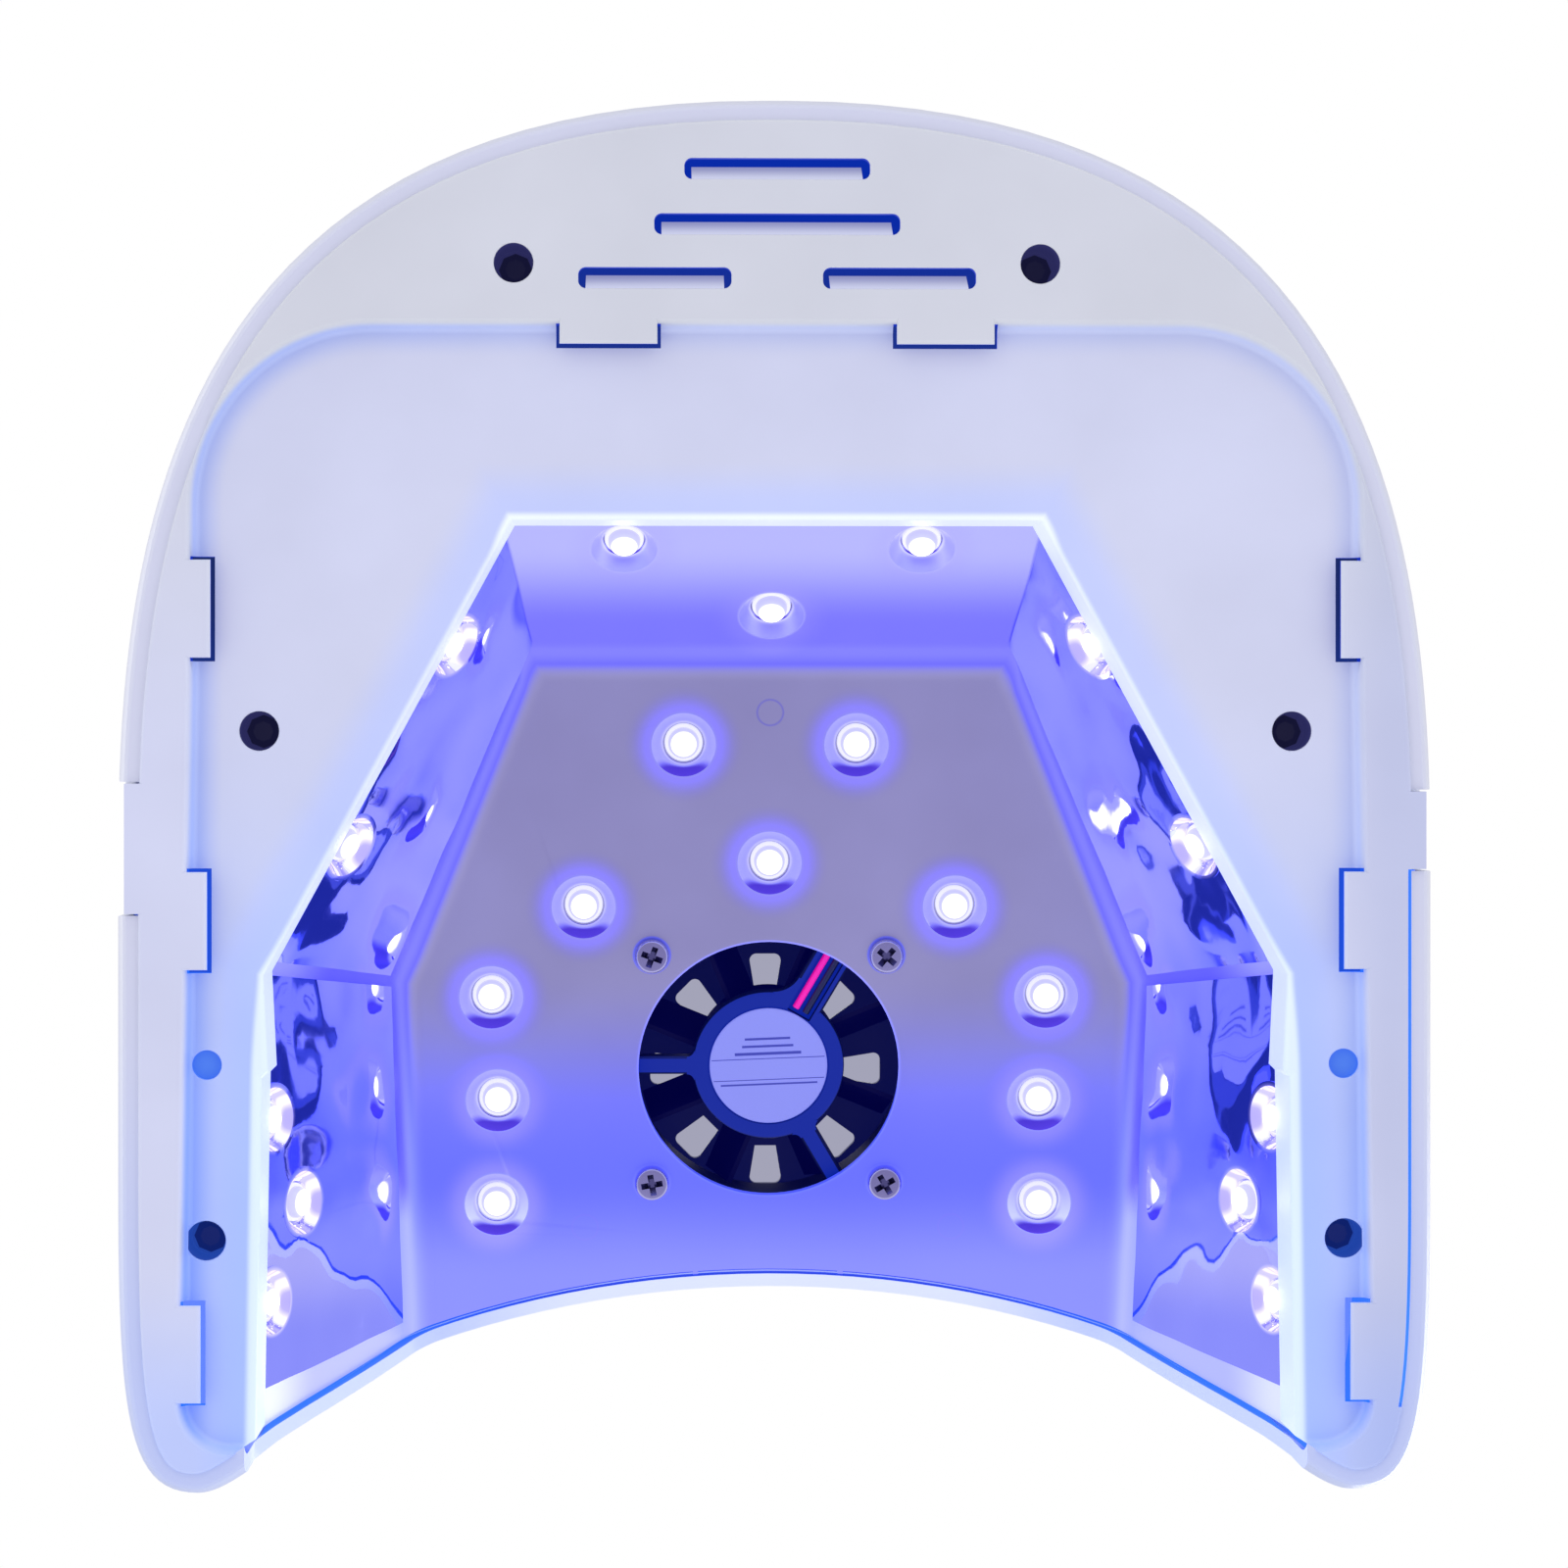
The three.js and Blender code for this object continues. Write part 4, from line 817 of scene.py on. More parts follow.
class Look:
    """A moulded or metal surface: fine grain in the bump, slow variation in colour and roughness."""

    def __init__(self, name, colour, roughness, metallic=0.0, grain=900, bump=0.02, vary=0.06, tint=0.03):
        self.material = bpy.data.materials.new(name)
        self.material.use_nodes = True
        tree = self.material.node_tree
        self.tree = tree
        at, facing_way = (field_of(tree, "TexCoord", output=output) for output in ("Object", "Normal"))
        self.place = field_of(tree, "VectorMath", {0: at, "Scale": 1 / MM}, operation="SCALE")
        self.x, self.y, self.z = self.place.parts()
        self.along, self.upward = facing_way.parts()[1:]
        fine, slow = (field_of(tree, "TexNoise", {"Vector": at, "Scale": scale, "Detail": 3}, "Fac")
                      for scale in (grain, SLOW_GRAIN))
        spread = slow.scaled(*SLOW_RANGE, max(roughness - vary, 0.01), roughness + vary)
        deep = (SLOW_RANGE[0], [c * (1 - tint) for c in colour])
        pale = (SLOW_RANGE[1], [min(c * (1 + tint), 1) for c in colour])
        self.colour = slow.ramp(deep, last=pale)
        relief = field_of(tree, "Bump", {"Strength": 1, "Distance": bump * MM, "Height": fine})
        self.set(Base_Color=self.colour, Metallic=metallic, Roughness=spread, Normal=relief)

    def set(self, **inputs):
        shader = self.tree.nodes["Principled BSDF"]
        for name, value in inputs.items():
            put(self.tree, shader.inputs[name.replace("_", " ")], value)

    def lit(self, light, strength=1, **inputs):
        """The finished material, with its light."""
        self.set(Emission_Color=light, Emission_Strength=strength, **inputs)
        return self.material

    def nearest(self, points):
        """The distance to the nearest of some points."""
        return reduce(Field.least, [self.place.far_from(point) for point in points])

    def ring(self, centres, radius, width):
        """The share of a thin ring drawn round some points."""
        return abs(self.nearest(centres) - radius).fade(width, 0)


def off_opening(look):
    """How far outside the hand opening a point lies in plan."""
    sides = []
    for start, end in zip(OPENING[:3], OPENING[1:4]):
        along = (end - start).normalized()
        out = Vector((along.y, -along.x))
        sides.append(abs(look.x) * out.x + look.y * out.y - out.dot(start))
    return reduce(Field.most, sides)


def off_recess(look):
    """How far outside the edge of the tray recess a point lies in plan."""
    wider = look.y.scaled(RECESS_TURN, RECESS_FRONT, RECESS_REAR - RECESS_CORNER, RECESS_FORE - RECESS_CORNER)
    past_side = abs(look.x) - wider
    past_back = look.y - (RECESS_BACK - RECESS_CORNER)
    out_x, out_y = past_side.most(0), past_back.most(0)
    corner = out_x.maths("SQRT", out_x * out_x + out_y * out_y)
    return corner + past_side.most(past_back).least(0) - RECESS_CORNER


# Looks
def case_plastic():
    """White plastic with painted light: a glowing band and a halo round the opening, painted blue light in
    the recess and at the leg tips, painted shade on the -X rim and less blue towards the back.
    """
    look = Look("white_plastic", (0.82, 0.85, 0.90), 0.36, grain=1400, bump=0.004)
    x, y = look.x, look.y
    away, outside = off_opening(look), off_recess(look)
    sunk = look.z.fade(0.4, 2.2) * outside.fade(2.5, 1.2)
    level = 1 - sunk
    edge = outside.fade(-5.5, -0.3) * sunk * x.fade(95, 10, 0.9, 0.42)
    legs = y.fade(25, -75) * sunk
    tips = level * y.fade(-72, -104)
    halo = away.fade(2, 10, 1, 0)
    width = y.fade(-20, -45, 0.4, 1.6).most(y.fade(38, 44, 0.4, 1))
    band = (away - width).fade(-0.6, 0.6, 1, 0)
    # Painted light and shade: blue light in the recess, deepest at its edge and along the legs; less blue
    # towards the back; painted shade on the -X rim; blue light at the leg tips and round the opening
    colour = layered(look.colour, [
        (edge, (0.62, 0.72, 1)), (legs * 0.85, (0.68, 0.79, 1)), (edge * legs, (0.82, 0.88, 1)),
        (level * y.fade(0, 75), (1, 0.99, 0.86)), (level * x.fade(-86, -99), (0.84, 0.86, 0.92)),
        (tips, (0.80, 0.88, 1)), (halo * 0.7, (0.84, 0.89, 1))], "MULTIPLY")
    # Painted glow: round the opening, along the legs, at the leg tips, at the recess edge and in the bright
    # band
    light = layered(BLACK, [(halo, (0, 0.02, 0.13)), (legs, (0, 0.02, 0.12)), (tips, (0, 0.01, 0.10)),
                            (edge, (0.01, 0.02, 0.07)), (band, (0.33, 0.34, 0.40))], "ADD")
    return look.lit(light, Base_Color=colour)


def satin_silver():
    """Brushed silver with painted light: grey at the ceiling's rear, painted blue light near its front, on
    the walls and round each bead; painted shade in the crease, at the walls' heads and on one side of each
    dish; a painted highlight round the fan hole and painted blue light round the screw heads.
    """
    look = Look("satin_silver", (0.54, 0.52, 0.74), 0.34, metallic=1, grain=2200, bump=0.003, vary=0.03)
    y, upward = look.y, look.upward
    wall = upward.fade(-0.92, -0.72)
    flat = 1 - wall
    fore = y.fade(-30, -66) * flat
    crease = upward.fade(-0.975, -0.90) * upward.fade(-0.66, -0.80)
    head = look.z.fade(27, 41) * wall
    bead = look.nearest([place.translation for place in LINER_BEADS])
    dish = bead.fade(DISH_RIM + 0.5, DISH_RIM - 0.1)
    halo = bead.fade(DISH_RIM + 5, DISH_RIM) * (1 - dish) * (1 - wall * 0.6)
    dish_shadow = dish * look.along.fade(0.30, 0.55)
    hole = look.ring([FAN.translation], FAN_HOLE, 0.45)
    outline = look.ring([FAN @ Vector((sx, sy, 0)) for sx, sy in FAN_SCREWS], SCREW_HEAD + 0.15, 0.4)
    marks = look.ring([Vector((mx, my, ceiling_at(my))) for mx, my in CEILING_MARKS], MARK_RADIUS, 0.3)
    # Painted light and shade: blue on the walls, at the front, in the dishes and halos; a darker crease, wall
    # heads and dish shadows; blue rings round the fan hole and the screw heads
    colour = layered(look.colour, [
        (wall, (0.50, 0.50, 1)), (head, (0.24, 0.22, 1)), (crease, (0.20, 0.19, 1)), (fore, (0.22, 0.25, 1)),
        (halo * 0.7, (0.38, 0.34, 0.95)), (dish, (0.32, 0.31, 0.90)), (dish_shadow, (0.07, 0.04, 0.4)),
        (outline, (0.25, 0.28, 1)), (marks * 0.6, (0.25, 0.24, 0.9))])
    # Painted glow: at the front, on the walls, round and close to each bead and in the dishes; the dish
    # shadows, the fan hole's highlight and the rings round the screws are laid over it
    light = layered(BLACK, [
        (fore, (0.04, 0.05, 0.5)), (y.fade(-66, -84) * flat, (0.12, 0.12, 0.2)),
        (wall * (1 - head * 0.7), (0.13, 0.13, 0.36)), (y.fade(-66, -74) * wall, (0.25, 0.30, 0.25)),
        (halo * halo, (0.06, 0.05, 0.5)), (dish, (0.13, 0.13, 0.32)),
        (bead.fade(4.4, 4), (0.26, 0.26, 0.25))], "ADD")
    light = layered(light, [(dish_shadow, (0.03, 0.015, 0.26)), (hole, (0.07, 0.10, 0.9))])
    return look.lit(layered(light, [(outline * 0.5, (0.05, 0.06, 0.6))], "ADD"), Base_Color=colour)


def polished():
    """The mirror sheets, with a painted blue glow and bluer towards the front; their dishes a shade lighter,
    with painted light.
    """
    look = Look("polished_sheet", (0.56, 0.55, 0.90), 0.04, metallic=1, grain=60, bump=0.02, vary=0.02)
    dish = look.nearest([place.translation for place in SHEET_BEADS]).fade(DISH_RIM + 0.6, DISH_RIM - 0.4)
    # Painted blue light: bluer towards the front, lighter and glowing in the dishes
    colour = layered(look.colour, [(look.y.fade(-76, -90), (0.62, 0.66, 1))], "MULTIPLY")
    colour = layered(colour, [(dish, (0.88, 0.82, 1))])
    return look.lit(layered((0.012, 0.02, 0.32), [(dish, (0.14, 0.12, 0.25))], "ADD"), Base_Color=colour)


def bead_lens():
    """A lit lens, lavender towards its edge. The mesh carries how far out each point is."""
    look = Look("bead_lens", (0.22, 0.22, 0.27), 0.12)
    spread = field_of(look.tree, "Attribute", output="Fac", attribute_name="spread")
    light = spread.ramp((0.56, (1, 1, 1)), (0.70, (0.20, 0.20, 0.29)), (0.90, (0.17, 0.165, 0.28)),
                        (0.95, (0.32, 0.32, 0.36)), last=(1, (0.19, 0.18, 0.28)))
    return look.lit(light, 2.6)


def leaked_light(name, dark, bright, start, end):
    """Deep gaps lit from inside, the light painted: a dark colour and a painted glow of one shade at one end
    of the lamp and another towards the other.
    """
    look = Look(name, dark, 0.5)
    return look.lit(layered(dark, [(look.y.fade(start, end), bright)]))


def shell_inside():
    """The inside of the dome, painted: nearly black for its shade, with painted blue light behind the vents
    and brighter at the front gap.
    """
    look = Look("inside_plastic", (0, 0, 0.03), 0.5)
    from_middle, y = abs(look.x), look.y
    side = layered((0.010, 0.021, 0.117), [(y.fade(35, -20), (0.0137, 0.075, 0.66))])
    front = layered((0.010, 0.05, 0.75), [(from_middle.fade(30, 78), (0.035, 0.17, 1))])
    return look.lit(layered((0.001, 0.002, 0.05), [
        (from_middle.fade(74, 84), side), (y.fade(45, 60), (0.010, 0.03, 0.24)),
        (y.fade(82, 101), (0.002, 0.022, 0.36)), (y.fade(-74, -83), front)]))


def louvre_plastic():
    """The vent blades, their light painted: a glow brightest at their foot, as if lit by the floor, and
    darker towards their head.
    """
    look = Look("louvre_plastic", (0.10, 0.10, 0.12), 0.5, grain=1400, bump=0.004)
    foot = look.z.fade(LOUVRE_HEIGHT, LOUVRE_FOOT)
    return look.lit(layered((0.26, 0.27, 0.46), [(foot, (0.55, 0.57, 0.70))]))


def fan_plastic():
    """Black moulding tinted dark blue by painted blue light, with painted blue light on the faces that look
    down.
    """
    look = Look("fan_plastic", (0.003, 0.008, 0.05), 0.5, grain=1200, bump=0.01, vary=0.05)
    light = layered((0, 0, 0.02), [(look.upward.fade(-0.75, -0.97), (0, 0.012, 0.29))])
    return look.lit(light, Specular_IOR_Level=0.25)


def shell_plastic():
    """The outer shell, with painted shade where it stands upright and painted blue light low on the leg tips.
    """
    look = Look("shell_plastic", (0.82, 0.84, 0.86), 0.34, grain=1400, bump=0.004, vary=0.015, tint=0.008)
    # Painted shade on the upright faces, and painted blue light low on the leg tips
    foot = look.upward.fade(-0.55, -0.05) * look.upward.fade(0.45, 0.1)
    tips = look.z.fade(14, 6) * look.y.fade(-20, -100)
    colour = layered(look.colour, [(foot, (0.84, 0.84, 0.88)), (tips, (0.82, 0.88, 1))], "MULTIPLY")
    return look.lit(layered(BLACK, [(tips, (0, 0.01, 0.08))]), Base_Color=colour, Specular_IOR_Level=0.3)


def lip_plastic():
    """The lip of the hand opening, with painted light as if lit from behind; a shade deeper, with painted
    blue light, along the legs.
    """
    look = Look("lit_plastic", (0.80, 0.84, 0.95), 0.36, grain=1400, bump=0.004, vary=0.01, tint=0.005)
    legs = abs(look.x).fade(30, 62)
    colour = layered(look.colour, [(legs, (0.84, 0.87, 0.97))], "MULTIPLY")
    return look.lit(layered((0.17, 0.20, 0.25), [(legs, (0.06, 0.10, 0.25))]), Base_Color=colour)


def plain(name, colour, roughness, light=BLACK, strength=0, specular=0.5, **settings):
    look = Look(name, colour, roughness, **settings)
    return look.lit(light, strength, Specular_IOR_Level=specular)


METAL = {"metallic": 1, "grain": 4000, "bump": 0.004}
LEAD = {"grain": 2500, "bump": 0.01}
LOOKS = {
    "plastic": case_plastic(),
    "shell": shell_plastic(),
    "lip": lip_plastic(),
    "inside": shell_inside(),
    # Behind the side gap: painted blue light, a blue colour that glows
    "seam": plain("side_gap_glow", (0.05, 0.15, 0.6), 0.5, (0.04, 0.20, 1), 1),
    # The wells: a dark colour painted for their shade, with a painted blue glow stronger towards the front
    "deep": leaked_light("deep_shade_and_glow", (0.02, 0.02, 0.085), (0.012, 0.05, 0.32), -20, -70),
    # Slits and vent slots: a dark blue colour painted for their shade, with a painted blue glow stronger
    # towards the front
    "slit": leaked_light("slit_shade_and_glow", (0.002, 0.02, 0.30), (0.01, 0.14, 0.75), 10, -30),
    # The locating holes: painted blue light, a blue colour that glows
    "disc": plain("disc_blue_glow", (0.12, 0.3, 0.75), 0.5, (0.02, 0.12, 0.6), 0.35),
    "louvre": louvre_plastic(),
    "satin": satin_silver(),
    "mirror": polished(),
    "lens": bead_lens(),
    "bead_body": plain("bead_body", (0.5, 0.5, 0.7), 0.35, (0.6, 0.6, 0.62), 1),
    "board": plain("lamp_board", (0.78, 0.78, 0.8), 0.45),
    "green": plain("control_board", (0.02, 0.15, 0.06), 0.4),
    "fan": fan_plastic(),
    # The black rotor, with a faint painted blue glow
    "rotor": plain("rotor_plastic", (0.001, 0.001, 0.02), 0.6, (0, 0, 0.035), 1, 0.1, grain=1200, bump=0.01),
    "black": plain("black_plastic", (0.012, 0.012, 0.015), 0.4),
    # The label, blue, and its dark print, both with a painted blue glow
    "paper": plain("label_paper", (0.22, 0.24, 0.60), 0.42, (0.2, 0.22, 0.62), 0.55, grain=3000, bump=0.006,
                   tint=0.02),
    "ink": plain("label_ink", (0.02, 0.02, 0.10), 0.5, (0.04, 0.05, 0.45), 0.8),
    "steel": plain("screw_steel", (0.42, 0.40, 0.62), 0.22, **METAL),
    # The cross recess: a darker copy of the screw steel, painted shade
    "cross": plain("screw_recess", (0.16, 0.15, 0.30), 0.25, **METAL),
    # The case screws: black, with a painted blue glow stronger towards the front
    "dark_steel": leaked_light("black_screw", (0.006, 0.006, 0.025), (0.004, 0.012, 0.12), -20, -70),
    # The red lead glows with painted light
    "red": plain("red_lead", (0.75, 0.01, 0.30), 0.4, (0.75, 0, 0.32), 0.6, **LEAD),
    "dark_lead": plain("black_lead", (0.004, 0.008, 0.08), 0.4, **LEAD),
    "smoked": plain("smoked_window", (0.01, 0.01, 0.014), 0.08, vary=0.02, bump=0.0005),
    "button": plain("button_plastic", (0.78, 0.79, 0.84), 0.42, grain=1600, bump=0.005),
}


# Shown pieces
def show(made, name, looks, *, body="housing", replaces=(), sharp=32):
    made.name = name
    made.data.name = name
    numbers = [face.material_index for face in made.data.polygons]
    made.data.materials.clear()
    for look in looks:
        made.data.materials.append(LOOKS[look])
    made.data.polygons.foreach_set("material_index", numbers)
    made.data.shade_smooth()
    made.data.set_sharp_from_angle(angle=math.radians(sharp))
    even = made.modifiers.new("even", "WEIGHTED_NORMAL")
    even.keep_sharp = True
    settled(made)
    made.data.name = name
    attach(made, body)
    if replaces:
        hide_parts(*replaces)


def choose_faces(made, pick):
    """Gives each face the look number that pick returns for its middle, in millimetres, and its normal."""
    for face in made.data.polygons:
        face.material_index = int(pick(face.center / MM, face.normal))


def hand_space():
    foot = raised(in_steps(WALL_AT_COLLAR), -OVERRUN)
    return loft([foot, *reflector_rings(evenly(0), 0, COLLAR_TOP)])


def at_notch(made, notch):
    """Takes a body made on the +X side to its notch, and turns it about for one on the other side."""
    if notch["side"] < 0:
        moved(made, about_z(math.pi))
    return moved(made, shift(0, notch["y"]))


def notch_block(notch, clearance, start, end):
    half = notch["width"] / 2 - clearance
    top = NOTCH_HEIGHT - clearance
    corner = [(half - pull, top - down) for down, pull in rounding(NOTCH_CORNER, 10)]
    shape = [(-half, 0), (half, 0), *corner, *[(-y, z) for y, z in reversed(corner)]]
    return at_notch(loft([[Vector((x, y, z)) for y, z in shape] for x in (start, end)]), notch)


def notch_flare(notch):
    """Opens a notch out at the shell's face, which rounds off its corners there."""
    start, end = HALF_WIDTH - NOTCH_FLARE, HALF_WIDTH + OVERRUN
    rings = []
    for share in (i / FLARE_STEPS for i in range(FLARE_STEPS + 1)):
        grow = NOTCH_FLARE * share ** 2
        half, top = notch["width"] / 2 + grow, NOTCH_HEIGHT + grow
        x = start + (end - start) * share * NOTCH_FLARE / OVERRUN
        corners = ((-half, -OVERRUN), (half, -OVERRUN), (half, top), (-half, top))
        rings.append([Vector((x, *corner)) for corner in corners])
    rings.append([Vector((end, p.y, p.z)) for p in rings[-1]])
    return at_notch(loft(rings), notch)


def ring_vent(index):
    inner, outer = RING_VENT_INNER / 2, RING_VENT_OUTER / 2
    corner = arc(VENT_RING_OUTER - RING_VENT_CORNER, outer - RING_VENT_CORNER, RING_VENT_CORNER, quarter(8))
    half = [*corner, (VENT_RING_INNER, inner)]
    made = prism([(x, -y) for x, y in reversed(half)] + half, *DECK_THROUGH)
    return moved(made, shift(0, VENT_RING_Y) @ about_z(math.tau * index / RING_VENTS))


def button_box(index):
    """The lowest, the middle and the highest point of a button."""
    low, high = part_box(f"button_{index}")
    return low / MM, (low + high) / 2 / MM, high / MM


def display_box(grow, corner=DISPLAY_CORNER):
    return rounded_box(DISPLAY_WIDTH / 2 + grow, DISPLAY_LENGTH / 2 + grow, corner)


def make_shell():
    outer = shell_space(0, HEIGHT, SKIRT_FOOT, FOOT_ROUND)
    minus(outer, shell_space(SHELL_WALL, HEIGHT - SHELL_WALL, SKIRT_FOOT - OVERRUN))
    clear = behind_walls(lambda name: seat_of(name) + LINER_WALL + SEAM_GAP)
    liner_room = within(loft(reflector_rings(clear, LINER_WALL + SEAM_GAP, LINER_FOOT - GAP)),
                        shell_space(SHELL_WALL, HEIGHT, 0))
    minus(outer, hand_space(), liner_room)
    deck = [rod(BUTTON_RADIUS + BUTTON_CLEARANCE, *DECK_THROUGH, *button_box(index)[1].xy, 64)
            for index in BUTTONS]
    deck.append(moved(prism(display_box(-DISPLAY_LEDGE), *DECK_THROUGH), shift(0, DISPLAY_Y)))
    minus(outer, together([ring_vent(i) for i in range(RING_VENTS)] + deck))
    seat = prism(display_box(GAP, DISPLAY_CORNER + GAP), HEIGHT - DISPLAY_POCKET - GAP, HEIGHT + OVERRUN)
    minus(outer, moved(seat, shift(0, DISPLAY_Y)))
    minus(outer, together([notch_block(n, 0, NOTCH_START, HALF_WIDTH + OVERRUN) for n in NOTCHES]))
    minus(outer, together([notch_flare(n) for n in NOTCHES]))
    show(outer, "shell", ("shell", "inside", "lip", "seam"), replaces=["upper_shell"])
    choose_faces(outer, shell_face)


def shell_face(middle, normal):
    """Which look a face of the shell has: 1 inside the dome, 2 on the lit lip, 3 behind the side gap."""
    lip_front = OPENING[0].y * 0.6
    if middle.y < lip_front and LINER_FOOT < middle.z < HEIGHT * 0.8 and normal.z < -0.3:
        return 2
    inward = (Vector((0, DECK_CENTRE, SHOULDER)) - middle).dot(normal) > 0
    if inward and middle.z < SHOULDER and middle.x < -HALF_WIDTH * 0.7 and SIDE_GAP_ENDS[0] < middle.y < 0:
        return 3
    leg_side = abs(normal.x) > 0.9 and abs(middle.x) < LEG_TIP * 0.95 and middle.y < SIDE_GAP_ENDS[0]
    if middle.z < COLLAR_TOP and leg_side:
        return 2
    return inward and COLLAR_TOP < middle.z < HEIGHT - DISPLAY_POCKET


# Lower case
def recess_shape(grow):
    back, rear, fore = RECESS_BACK + grow, RECESS_REAR + grow, RECESS_FORE + grow
    front, corner, end = RECESS_FRONT - grow, RECESS_CORNER + grow, RECESS_END_CORNER + grow
    right = [(0, front), *arc(fore - end, front + end, end, [a - math.pi / 2 for a in quarter(12)]),
             (rear, RECESS_TURN), *arc(rear - corner, back - corner, corner, quarter(24)), (0, back)]
    return right + mirrored(right[1:-1])


def recess_side(y):
    share = max((RECESS_TURN - y) / (RECESS_TURN - RECESS_FRONT), 0)
    return RECESS_REAR + (RECESS_FORE - RECESS_REAR) * share


TABS = [shift(side * BACK_TAB, RECESS_BACK) @ about_z(-math.pi / 2) for side in (1, -1)]
TABS += [shift(side * recess_side(y), y) @ about_z(math.pi if side > 0 else 0)
         for y in SIDE_TABS for side in (1, -1)]


def eased(shape_of, ease, top):
    """A cutter that opens out towards z = 0 with a small rounded edge; shape_of takes how much to grow."""
    rings = [raised(shape_of(ease * 2), -ease)]
    rings += [raised(shape_of(pull), z) for pull, z in rounding(ease, 4)]
    return loft([*rings, raised(shape_of(0), top)])


def pocket(radius, x, y, ease, foot, top):
    """A round hole with an eased mouth."""
    made = eased(lambda grow: circle(radius + grow, ROUND_SIDES, x, y), ease, top - foot)
    return moved(made, shift(0, 0, foot))


def vent_cut(x, y, length):
    def shape_of(grow):
        half_x, half_y = length / 2 + grow, VENT_WIDTH / 2 + grow
        return [(x + px, y + py) for px, py in rounded_box(half_x, half_y, VENT_CORNER + grow)]

    return eased(shape_of, SMALL_EASE, FLOOR + OVERRUN)


def louvre(x, y, length):
    """A blade that leans back over its slot from the slot's front edge."""
    half, front = length / 2 - LOUVRE_END_GAP, -VENT_WIDTH / 2
    back = front + LOUVRE_REACH
    section = [(front - LOUVRE_THICKNESS, LOUVRE_FOOT), (front, LOUVRE_FOOT), (back, LOUVRE_HEIGHT),
               (back - LOUVRE_THICKNESS, LOUVRE_HEIGHT)]
    return loft([[Vector((x + end, y + py, z)) for py, z in section] for end in (-half, half)])


def rounded_tab():
    """A latch tab, level with the rim, with a rounded free edge and slightly rounded sides."""
    half = TAB_LENGTH / 2
    low = -RECESS_EASE - TAB_SLIT
    rings = []
    for pull, z in rounding(TAB_ROUND, 7):
        high, side = TAB_REACH - pull, half - pull * TAB_SIDE_ROUND / TAB_ROUND
        rings.append(raised([(low, -side), (high, -side), (high, side), (low, side)], z))
    rings.append(raised([(low, -half), (TAB_REACH, -half), (TAB_REACH, half), (low, half)], TAB_THICKNESS))
    return loft(rings)


def collar_edge(distance):
    """The edge of the hand opening, with the small step in each side, grown outwards."""
    front, middle, back = OPENING[:3]
    step_x = middle.lerp(front, (COLLAR_STEP_AT - middle.y) / (front.y - middle.y)).x
    right = [front, Vector((step_x, COLLAR_STEP_AT - COLLAR_STEP)),
             Vector((step_x - COLLAR_STEP, COLLAR_STEP_AT)), middle, back]
    edge = right + mirrored(right)
    return offset_edges(edge, [distance] * (len(edge) - 1))


